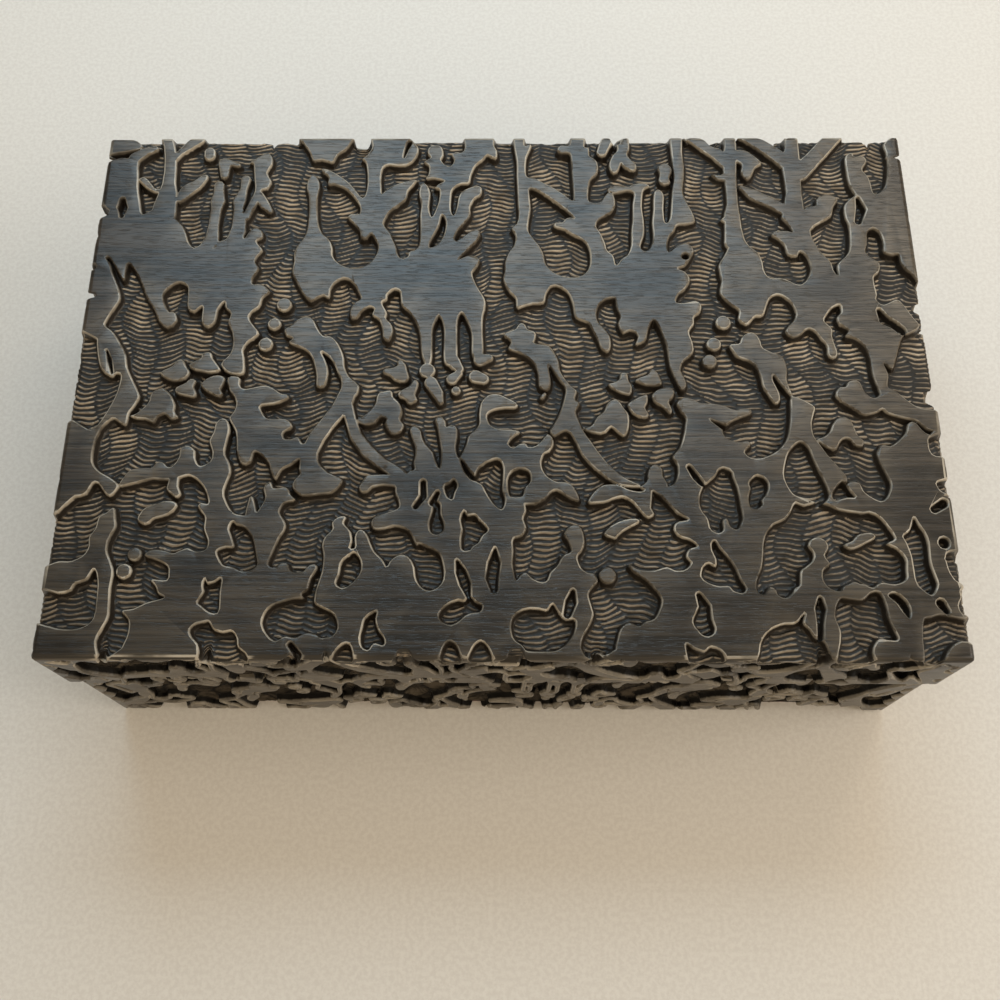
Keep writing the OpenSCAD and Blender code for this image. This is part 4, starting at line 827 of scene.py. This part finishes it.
def sideBoard(node, side, sides, low, high, profile=None):
    # A slab with the side's relief on its outer face, cut to the CAD board, which brings its mitres,
    # bevels, hinge seats and holes. A board whose solid is carved itself is cut to its plain profile.
    nodeLow, nodeHigh = boxInMm(node)
    tall = nodeHigh[2] - nodeLow[2]
    long = sides["wide"] if side in ("front", "back") else sides["deep"]
    start, along, inward = (np.array(q, float) for q in sideFrame(side, low, high))

    def depthAt(u, v):
        # Relief, softened edges, rounded corners and a thin skin. A rail meets the top board above.
        depth, ridge, d, body = sideRelief(sides, side, u, v + high[2] - nodeHigh[2])
        free = tall - v if sides["edge"] else np.minimum(v, tall - v)
        soft = sidePiece["soft"] * np.clip(1 - free / sidePiece["softWidth"], 0, 1) ** 2
        corner = roundOver(np.minimum(u, long - u), sides["round"])
        return depth + soft + corner + sidePiece["skin"], ridge, d, body

    margin = sidePiece["margin"]
    u = np.linspace(-margin, long + margin, int((long + 2 * margin) / sidePiece["step"]))
    v = np.linspace(-margin, tall + margin, int((tall + 2 * margin) / sidePiece["step"]))
    u, v = np.meshgrid(u, v)
    u, v = snapGrid(u, v, depthAt(u, v)[2])
    depth = depthAt(u, v)[0]

    def place(u, v, t):
        # Points at u along the side, v below its upper edge and t into the wood.
        flat = start + u[..., None] * along + t[..., None] * inward
        return np.concatenate([flat, (nodeHigh[2] - v)[..., None]], -1).reshape(-1, 3)

    rows, columns = u.shape
    index = np.arange(rows * columns).reshape(rows, columns)
    ring = np.concatenate([index[0, :-1], index[:-1, -1], index[-1, :0:-1], index[:0:-1, 0]])
    behind = place(u.ravel()[ring], v.ravel()[ring], np.full(len(ring), float(sidePiece["back"])))
    backRing = rows * columns + np.arange(len(ring))
    skirt = np.stack([ring, np.roll(ring, -1), np.roll(backRing, -1), backRing], -1)
    faces = list(gridFaces(rows, columns)) + list(skirt) + [backRing]
    piece = makePiece(node + "Carved", np.concatenate([place(u, v, depth), behind]), faces)
    thin(piece, int(2 * rows * columns * sidePiece["keep"]))
    cutter = mitredBoard(node, side, low, high, profile) if profile else looseCopy(node)
    cut = piece.modifiers.new("cut", "BOOLEAN")
    cut.operation = "INTERSECT"
    cut.solver = "EXACT"
    cut.object = cutter
    settle(piece)
    bpy.data.objects.remove(cutter)
    if len(piece.data.polygons) < sidePiece["fewest"]:
        raise RuntimeError(node + " was not cut")
    # Values for the wood: the carving where a point lies on the carved face, and level wood elsewhere.
    points = readPoints(piece)
    flat = points[:, :2] - start
    inside = flat @ inward
    depth, ridge, d, body = depthAt(flat @ along, nodeHigh[2] - points[:, 2])
    onFace = np.abs(inside - depth) < sidePiece["onFace"]
    values = {"carve": np.where(onFace, d, levelWood["carve"]), "ridge": np.where(onFace, ridge, 0),
              "body": np.where(onFace, body, 1)}
    shadeWood(piece, inside, values)
    return piece


feltPiece = {"step": 1.6, "wave": 0.12, "flatEdge": 4}


def feltSheet(node, faceUp):
    # A felt sheet: a slab with rounded edges whose open face swells and dips a little, as a sum of sines.
    low, high = boxInMm(node)
    size = high - low
    n, m = (int(size[k] / feltPiece["step"]) for k in (0, 1))
    s, t = np.meshgrid(*(0.5 - 0.5 * np.cos(np.linspace(0, np.pi, k)) for k in (n, m)))
    x, y = low[0] + s * size[0], low[1] + t * size[1]
    edge = np.minimum(np.minimum(x - low[0], high[0] - x), np.minimum(y - low[1], high[1] - y))
    half = size[2] / 2
    bulge = np.sqrt(np.clip(1 - (1 - np.clip(edge / half, 0, 1)) ** 2, 0, 1))
    dip = 0.5 + 0.25 * np.sin(0.05 * x + 0.03 * y) + 0.25 * np.sin(0.021 * x - 0.06 * y + 1)
    openFace = bulge * (half - feltPiece["wave"] * dip * np.clip(edge / feltPiece["flatEdge"], 0, 1))
    middle = (low[2] + high[2]) / 2
    up, down = (openFace, bulge * half) if faceUp else (bulge * half, openFace)
    points = np.concatenate([np.stack([x, y, middle + up], -1).reshape(-1, 3),
                             np.stack([x, y, middle - down], -1).reshape(-1, 3)])
    faces = np.concatenate([gridFaces(m, n), gridFaces(m, n, m * n)])
    piece = makePiece(node + "Sheet", points, list(faces))
    piece.data.polygons.foreach_set("use_smooth", np.ones(len(piece.data.polygons), bool))
    return piece


# Shaders
def addNode(tree, kind, links=None, **settings):
    # A shader node with its settings; links gives each named or numbered input a value or a socket.
    node = tree.nodes.new(kind)
    for key, value in settings.items():
        setattr(node, key, value)
    for key, value in (links or {}).items():
        if isinstance(value, bpy.types.NodeSocket):
            tree.links.new(value, node.inputs[key])
        else:
            node.inputs[key].default_value = value
    return node


def shaderGroup(name, inputs, outputs):
    # An empty node group with its sockets; the outputs are all values.
    group = bpy.data.node_groups.new(name, "ShaderNodeTree")
    for key, kind in inputs.items():
        group.interface.new_socket(name=key, in_out="INPUT", socket_type=kind)
    for key in outputs:
        group.interface.new_socket(name=key, in_out="OUTPUT", socket_type="NodeSocketFloat")
    return group, group.nodes.new("NodeGroupInput"), group.nodes.new("NodeGroupOutput")


def ramp(tree, value, low, high, toLow=0.0, toHigh=1.0, smooth=True):
    # Maps low..high onto toLow..toHigh.
    node = addNode(tree, "ShaderNodeMapRange", {0: value, 1: low, 2: high, 3: toLow, 4: toHigh},
                   interpolation_type="SMOOTHSTEP" if smooth else "LINEAR")
    return node.outputs[0]


def maths(tree, operation, a, b=0.0):
    # One sum or product of two values.
    return addNode(tree, "ShaderNodeMath", {0: a, 1: b}, operation=operation).outputs[0]


def blend(tree, factor, a, b, mode="MIX"):
    # From colour a to colour b as the factor goes from 0 to 1.
    node = addNode(tree, "ShaderNodeMix", {0: factor, 6: a, 7: b}, data_type="RGBA", blend_type=mode)
    return node.outputs[2]


def noise(tree, vector, scale, detail=3.0, roughness=0.55):
    # Cloudy values about 0.5; the scale is the number of clouds to a metre.
    values = {"Vector": vector, "Scale": scale, "Detail": detail, "Roughness": roughness}
    return addNode(tree, "ShaderNodeTexNoise", values).outputs[0]


def bumpy(tree, height, strength, distance):
    # The normal of a surface with a fine height on it, in metres.
    values = {"Strength": strength, "Distance": distance, "Height": height}
    return addNode(tree, "ShaderNodeBump", values).outputs[0]


def stretched(tree, vector, scale):
    # The same place with its axes scaled, for streaks along one of them.
    return addNode(tree, "ShaderNodeMapping", {"Vector": vector, "Scale": scale}).outputs[0]


def grainGroup():
    # Fine streaks, broad figure and pores of wood, running along X of the vector.
    group, source, result = shaderGroup("grain", {"Vector": "NodeSocketVector"},
                                        ("Streak", "Figure", "Pore"))
    vector = source.outputs["Vector"]
    streak = noise(group, stretched(group, vector, (22, 1100, 1100)), 1.0, 4.0, 0.6)
    figure = noise(group, stretched(group, vector, (9, 70, 70)), 1.0, 2.0, 0.5)
    pore = ramp(group, noise(group, stretched(group, vector, (190, 3600, 3600)), 1.0, 1.0), 0.56, 0.68)
    for key, value in (("Streak", streak), ("Figure", figure), ("Pore", pore)):
        group.links.new(value, result.inputs[key])
    return group


def carveMaskGroup():
    # Masks from the distance to the carving's edge. Rim: a thin line along it, broken up, for worn wood and
    # a
    # painted highlight. Ground: inside the hollows. Wall: their sides, where shade is painted.
    group, source, result = shaderGroup("carveMasks", {"Vector": "NodeSocketVector", "Carve": "NodeSocketFloat"},
                                        ("Rim", "Ground", "Wall"))
    vector, carve = source.outputs["Vector"], source.outputs["Carve"]
    rise = ramp(group, carve, -0.75, -0.4)
    fall = ramp(group, carve, 0.02, 0.2, 1.0, 0.0)
    broken = ramp(group, noise(group, vector, 60.0, 4.0), 0.36, 0.64, 0.08, 1.0)
    rim = maths(group, "MULTIPLY", maths(group, "MULTIPLY", rise, fall), broken)
    ground = ramp(group, carve, 0.45, 1.0)
    wall = maths(group, "MULTIPLY", ramp(group, carve, 0.02, 0.2), ramp(group, carve, 0.5, 1.15, 1.0, 0.0))
    for key, value in (("Rim", rim), ("Ground", ground), ("Wall", wall)):
        group.links.new(value, result.inputs[key])
    return group


grain = grainGroup()
carveMasks = carveMaskGroup()


def newMaterial(name):
    # A material with its node tree, its shader and the place on the object in metres.
    material = bpy.data.materials.new(name)
    material.use_nodes = True
    tree = material.node_tree
    shader = next(n for n in tree.nodes if n.type == "BSDF_PRINCIPLED")
    place = tree.nodes.new("ShaderNodeTexCoord").outputs["Object"]
    return material, tree, shader, place


# Colours of the carved wood. The wall and valley colours and the front factor are painted shade; the rim
# colour is worn wood with a painted highlight.
topLook = {"dark": (0.0085, 0.0070, 0.0056, 1), "light": (0.046, 0.0355, 0.026, 1),
           "pale": (0.138, 0.115, 0.087, 1), "rim": (0.38, 0.345, 0.29, 1),
           "wall": (0.018, 0.014, 0.0105, 1), "valley": (0.006, 0.0048, 0.0037, 1),
           "crest": (0.50, 0.412, 0.315, 1),
           "rough": 0.27, "groundRough": 0.46, "shine": 0.42, "front": 0.55}
# The sides' look: walls, valleys, crests and rims darker than the top's, painted shade for faces turned
# from the light.
sidePaintedShadeLook = {"dark": (0.015, 0.013, 0.011, 1), "light": (0.070, 0.060, 0.049, 1),
            "pale": (0.110, 0.097, 0.080, 1), "rim": (0.24, 0.217, 0.18, 1),
            "wall": (0.003, 0.0024, 0.0019, 1), "valley": (0.004, 0.0032, 0.0025, 1),
            "crest": (0.085, 0.071, 0.055, 1),
            "rough": 0.26, "groundRough": 0.65, "shine": 0.1, "front": 1.0}


def carvedWood(name, look, crosswise):
    # Dark stained wood: satin level faces, paler where the raised wood is narrow; pale rims of worn wood
    # with a painted highlight; walls painted dark as shade; a ribbed ground whose valleys are painted dark
    # as shade. Toward the front the colour may be darkened as painted shade.
    material, tree, shader, place = newMaterial(name)
    if crosswise:
        quarter = {"Vector": place, "Rotation": (0, 0, math.pi / 2)}
        place = addNode(tree, "ShaderNodeMapping", quarter).outputs[0]
    carve, ridge, body = (addNode(tree, "ShaderNodeAttribute", attribute_name=key).outputs["Fac"]
                          for key in ("carve", "ridge", "body"))
    g = addNode(tree, "ShaderNodeGroup", {"Vector": place}, node_tree=grain)
    w = addNode(tree, "ShaderNodeGroup", {"Vector": place, "Carve": carve}, node_tree=carveMasks)
    streak, figure, pore = (g.outputs[k] for k in ("Streak", "Figure", "Pore"))
    rim, ground, wall = (w.outputs[k] for k in ("Rim", "Ground", "Wall"))
    tone = maths(tree, "ADD", maths(tree, "MULTIPLY", streak, 0.6), maths(tree, "MULTIPLY", figure, 0.4))
    tone = ramp(tree, tone, 0.40, 0.60)
    level = blend(tree, tone, look["dark"], look["light"])
    narrow = ramp(tree, body, 0.35, 0.85, 1.0, 0.0)
    narrow = maths(tree, "MULTIPLY", narrow, ramp(tree, streak, 0.3, 0.7, 0.35, 1.0))
    level = blend(tree, narrow, level, look["pale"])
    level = blend(tree, maths(tree, "MULTIPLY", pore, 0.7), level, look["dark"])
    patchy = ramp(tree, noise(tree, place, 160.0, 4.0), 0.32, 0.68, 0.35, 1.0)
    crest = maths(tree, "MULTIPLY", ramp(tree, ridge, 0.18, 0.62), patchy)
    # Ribbed ground: the valleys, and the ground at a wall's foot where the ribs fade, are painted dark as
    # shade; the crests are paler.
    floor = blend(tree, crest, look["valley"], look["crest"])
    colour = blend(tree, ground, level, floor)
    # Painted shade: the colour is darkened toward the front by the look's front factor.
    y = addNode(tree, "ShaderNodeSeparateXYZ", {"Vector": place}).outputs["Y"]
    colour = blend(tree, 1.0, colour, ramp(tree, y, -0.085, 0.03, look["front"], 1.0), "MULTIPLY")
    # Painted shade: the hollows' walls take the dark wall colour.
    colour = blend(tree, wall, colour, look["wall"])
    # Rims: a pale line that is partly worn wood and partly a painted highlight.
    colour = blend(tree, rim, colour, look["rim"])
    rough = ramp(tree, ground, 0, 1, look["rough"], look["groundRough"], False)
    rough = maths(tree, "ADD", rough, maths(tree, "MULTIPLY", streak, 0.14))
    height = maths(tree, "ADD", streak, maths(tree, "MULTIPLY", pore, -0.5))
    tree.links.new(colour, shader.inputs["Base Color"])
    tree.links.new(rough, shader.inputs["Roughness"])
    tree.links.new(bumpy(tree, height, 0.4, 0.00015), shader.inputs["Normal"])
    shine = ramp(tree, carve, 0.02, 0.2, 0.5, look["shine"])
    tree.links.new(shine, shader.inputs["Specular IOR Level"])
    return material


boardLook = {"dark": (0.075, 0.042, 0.024, 1), "light": (0.19, 0.12, 0.07, 1), "rough": 0.7}


def plainWood():
    # Unpolished brown board with open grain.
    material, tree, shader, place = newMaterial("plainWood")
    g = addNode(tree, "ShaderNodeGroup", {"Vector": place}, node_tree=grain)
    tone = ramp(tree, maths(tree, "ADD", g.outputs["Streak"], g.outputs["Figure"]), 0.75, 1.25)
    tree.links.new(blend(tree, tone, boardLook["dark"], boardLook["light"]), shader.inputs["Base Color"])
    tree.links.new(bumpy(tree, g.outputs["Streak"], 0.4, 0.00015), shader.inputs["Normal"])
    shader.inputs["Roughness"].default_value = boardLook["rough"]
    return material


feltLook = {"dark": (0.065, 0.010, 0.012, 1), "light": (0.17, 0.034, 0.034, 1), "rough": 0.95,
            "sheen": 0.3, "sheenRough": 0.5}


def feltCloth():
    # Short dark red pile: fine fuzz, with a soft sheen at grazing angles.
    material, tree, shader, place = newMaterial("feltCloth")
    fuzz = noise(tree, place, 2400.0, 3.0, 0.7)
    cloud = noise(tree, place, 120.0, 3.0)
    tone = maths(tree, "ADD", maths(tree, "MULTIPLY", fuzz, 0.6), maths(tree, "MULTIPLY", cloud, 0.4))
    colour = blend(tree, ramp(tree, tone, 0.35, 0.65), feltLook["dark"], feltLook["light"])
    tree.links.new(colour, shader.inputs["Base Color"])
    tree.links.new(bumpy(tree, fuzz, 0.6, 0.0003), shader.inputs["Normal"])
    shader.inputs["Roughness"].default_value = feltLook["rough"]
    shader.inputs["Sheen Weight"].default_value = feltLook["sheen"]
    shader.inputs["Sheen Roughness"].default_value = feltLook["sheenRough"]
    return material


brassLook = {"bright": (0.66, 0.47, 0.19, 1), "dull": (0.26, 0.17, 0.075, 1), "spots": 260.0, "rough": 0.28}
steelLook = {"bright": (0.52, 0.52, 0.53, 1), "dull": (0.24, 0.22, 0.20, 1), "spots": 900.0, "rough": 0.3}


def agedMetal(name, look):
    # Satin metal that is dulled in soft spots.
    material, tree, shader, place = newMaterial(name)
    tarnish = ramp(tree, noise(tree, place, look["spots"], 5.0, 0.65), 0.42, 0.66)
    scratch = noise(tree, stretched(tree, place, (120, 4200, 4200)), 1.0, 2.0)
    tree.links.new(blend(tree, tarnish, look["bright"], look["dull"]), shader.inputs["Base Color"])
    rough = ramp(tree, tarnish, 0, 1, look["rough"], look["rough"] + 0.25, False)
    rough = maths(tree, "ADD", rough, maths(tree, "MULTIPLY", scratch, 0.1))
    tree.links.new(rough, shader.inputs["Roughness"])
    tree.links.new(bumpy(tree, scratch, 0.2, 0.00005), shader.inputs["Normal"])
    shader.inputs["Metallic"].default_value = 1.0
    return material


topWood = carvedWood("carvedTopWood", topLook, False)
sideX = carvedWood("carvedFrontWood", sidePaintedShadeLook, False)
sideY = carvedWood("carvedEndWood", sidePaintedShadeLook, True)
board = plainWood()
felt = feltCloth()
brass = agedMetal("agedBrass", brassLook)
steel = agedMetal("wireSteel", steelLook)
print("stage: materials made")


def finishPiece(piece, node, body, material):
    # Material, body and the CAD node that the piece stands for.
    piece.data.materials.clear()
    piece.data.materials.append(material)
    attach(piece, body)
    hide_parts(node)


finishPiece(topBoard(), "lid_top_board", "lid", topWood)
print("stage: top board carved")

# The two front boards have hollows in their solids too, so their plain profiles are cut with instead.
ledgeClear = 0.3  # between the bottom board and its ledge
railLow, railHigh = boxInMm("lid_front_rail")
railBack = railHigh[1] - railLow[1]
railProfile = [(0, railLow[2]), (0, railHigh[2]), (railBack, railHigh[2]), (railBack, railLow[2])]
boardBack = boxInMm("base_front_board")[1][1] - baseLow[1]
floorLow, floorHigh = boxInMm("base_bottom_board")
ledge = floorLow[1] - baseLow[1] - ledgeClear
boardProfile = [(0, baseLow[2]), (0, baseHigh[2]), (boardBack, baseHigh[2]), (boardBack, floorHigh[2]),
                (ledge, floorHigh[2]), (ledge, baseLow[2])]
for side in ("front", "back", "left", "right"):
    material = sideX if side in ("front", "back") else sideY
    for node, body, sides, low, high, profile in (
            (f"lid_{side}_rail", "lid", lidSides, topLow, topHigh, railProfile),
            (f"base_{side}_board", "base", baseSides, baseLow, baseHigh, boardProfile)):
        piece = sideBoard(node, side, sides, low, high, profile if side == "front" else None)
        finishPiece(piece, node, body, material)
print("stage: sides carved")

for node, body, faceUp, under in (("base_lining", "base", True, ["base_bottom_board"]),
                                  ("lid_lining", "lid", False, ["lid_top_board"]),
                                  ("base_felt", "base", False, ["base_bottom_board"])):
    sheet = feltSheet(node, faceUp)
    finishPiece(sheet, node, body, felt)
    low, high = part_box(node)
print("stage: felt laid")

# The pieces that stay as their CAD solids
solidLooks = {"base_bottom_board": board, "bottom_nails": steel,
              "hinge_base_screws": brass, "hinge_lid_screws": brass}
for hinge in ("left_hinge", "right_hinge"):
    for part in ("base_leaf", "lid_leaf", "pin"):
        solidLooks[f"{hinge}_{part}"] = brass
for node, material in solidLooks.items():
    solid = bpy.data.objects[node]
    if not solid.material_slots:
        solid.data.materials.append(material)
    for socket in solid.material_slots:
        socket.material = material


# Table, light and camera
tableLook = {"dark": (0.67, 0.655, 0.64, 1), "light": (0.73, 0.72, 0.705, 1), "rough": 0.6, "shine": 0.2,
             "half": 4}


def tableTop():
    # A pale table with a faint fine texture.
    material, tree, shader, place = newMaterial("paleTable")
    fine = noise(tree, place, 700.0, 3.0, 0.6)
    colour = blend(tree, ramp(tree, fine, 0.35, 0.65), tableLook["dark"], tableLook["light"])
    tree.links.new(colour, shader.inputs["Base Color"])
    tree.links.new(bumpy(tree, fine, 0.25, 0.0002), shader.inputs["Normal"])
    shader.inputs["Roughness"].default_value = tableLook["rough"]
    shader.inputs["Specular IOR Level"].default_value = tableLook["shine"]
    h = tableLook["half"]
    mesh = bpy.data.meshes.new("table")
    mesh.from_pydata([(-h, -h, 0), (h, -h, 0), (h, h, 0), (-h, h, 0)], [], [(0, 1, 2, 3)])
    mesh.materials.append(material)
    table = bpy.data.objects.new("table", mesh)
    bpy.context.scene.collection.objects.link(table)


tableTop()

lampAim = (0, 0, 0.05)
lamps = {"window": {"at": (-0.04, 0.46, 0.62), "size": (0.58, 0.36), "power": 3.05,
                    "colour": (0.63, 0.85, 1.0)},
         "curtain": {"at": (0.36, 0.44, 0.62), "size": (0.2, 0.3), "power": 0.7,
                     "colour": (1.0, 0.86, 0.68)},
         "right": {"at": (0.75, -0.15, 0.6), "size": (0.5, 0.5), "power": 3.0,
                   "colour": (1.0, 0.92, 0.82)}}
for name, lamp in lamps.items():
    light = bpy.data.lights.new(name, "AREA")
    light.shape = "RECTANGLE"
    light.size, light.size_y = lamp["size"]
    light.energy = lamp["power"]
    light.color = lamp["colour"]
    lampObject = bpy.data.objects.new(name, light)
    bpy.context.scene.collection.objects.link(lampObject)
    away = np.array(lamp["at"]) - np.array(lampAim)
    tilt = math.atan2(math.hypot(away[0], away[1]), away[2])
    lampObject.location = lamp["at"]
    lampObject.rotation_euler = (tilt, 0, math.atan2(away[0], -away[1]))

# The room is warm and bright in front of the box and dim behind it.
room = {"toward": (0.35, -0.94, 0.0), "behind": (0.05, 0.05, 0.05, 1), "front": (0.98, 0.79, 0.54, 1),
        "strength": 1.1}
world = bpy.data.worlds.new("room")
bpy.context.scene.world = world
world.use_nodes = True
skyTree = world.node_tree
sky = next(n for n in skyTree.nodes if n.type == "BACKGROUND")
ray = skyTree.nodes.new("ShaderNodeTexCoord").outputs["Generated"]
toward = addNode(skyTree, "ShaderNodeVectorMath", {0: ray, 1: room["toward"]}, operation="DOT_PRODUCT")
facing = ramp(skyTree, toward.outputs["Value"], -1.0, 1.0, 0.0, 1.0, False)
skyTree.links.new(blend(skyTree, facing, room["behind"], room["front"]), sky.inputs["Color"])
sky.inputs["Strength"].default_value = room["strength"]

view = {"at": (0.00225, -0.15747, 0.37812), "down": 68.66, "turn": -1.34, "roll": -1.18, "lens": 41.23,
        "sensor": 36}


def turned(angle):
    # A turn about Z by an angle in degrees, as a matrix.
    c, s = math.cos(math.radians(angle)), math.sin(math.radians(angle))
    return np.array(((c, -s, 0), (s, c, 0), (0, 0, 1)))


def cameraPlace():
    # Looking down by an angle from the level, turned about Z before and rolled about the view after.
    c, s = math.cos(math.radians(view["down"])), math.sin(math.radians(view["down"]))
    look = turned(view["roll"]) @ np.array(((1, 0, 0), (0, -s, -c), (0, c, -s))) @ turned(view["turn"])
    place = np.eye(4)
    place[:3, :3] = np.stack([look[0], -look[1], -look[2]], 1)
    place[:3, 3] = view["at"]
    return Matrix(place.tolist())


camera = bpy.data.objects.new("camera", bpy.data.cameras.new("camera"))
camera.data.lens = view["lens"]
camera.data.sensor_width = view["sensor"]
camera.matrix_world = cameraPlace()
bpy.context.scene.collection.objects.link(camera)
bpy.context.scene.camera = camera
bpy.context.scene.view_settings.view_transform = "Standard"
print("stage: table, light and camera set")
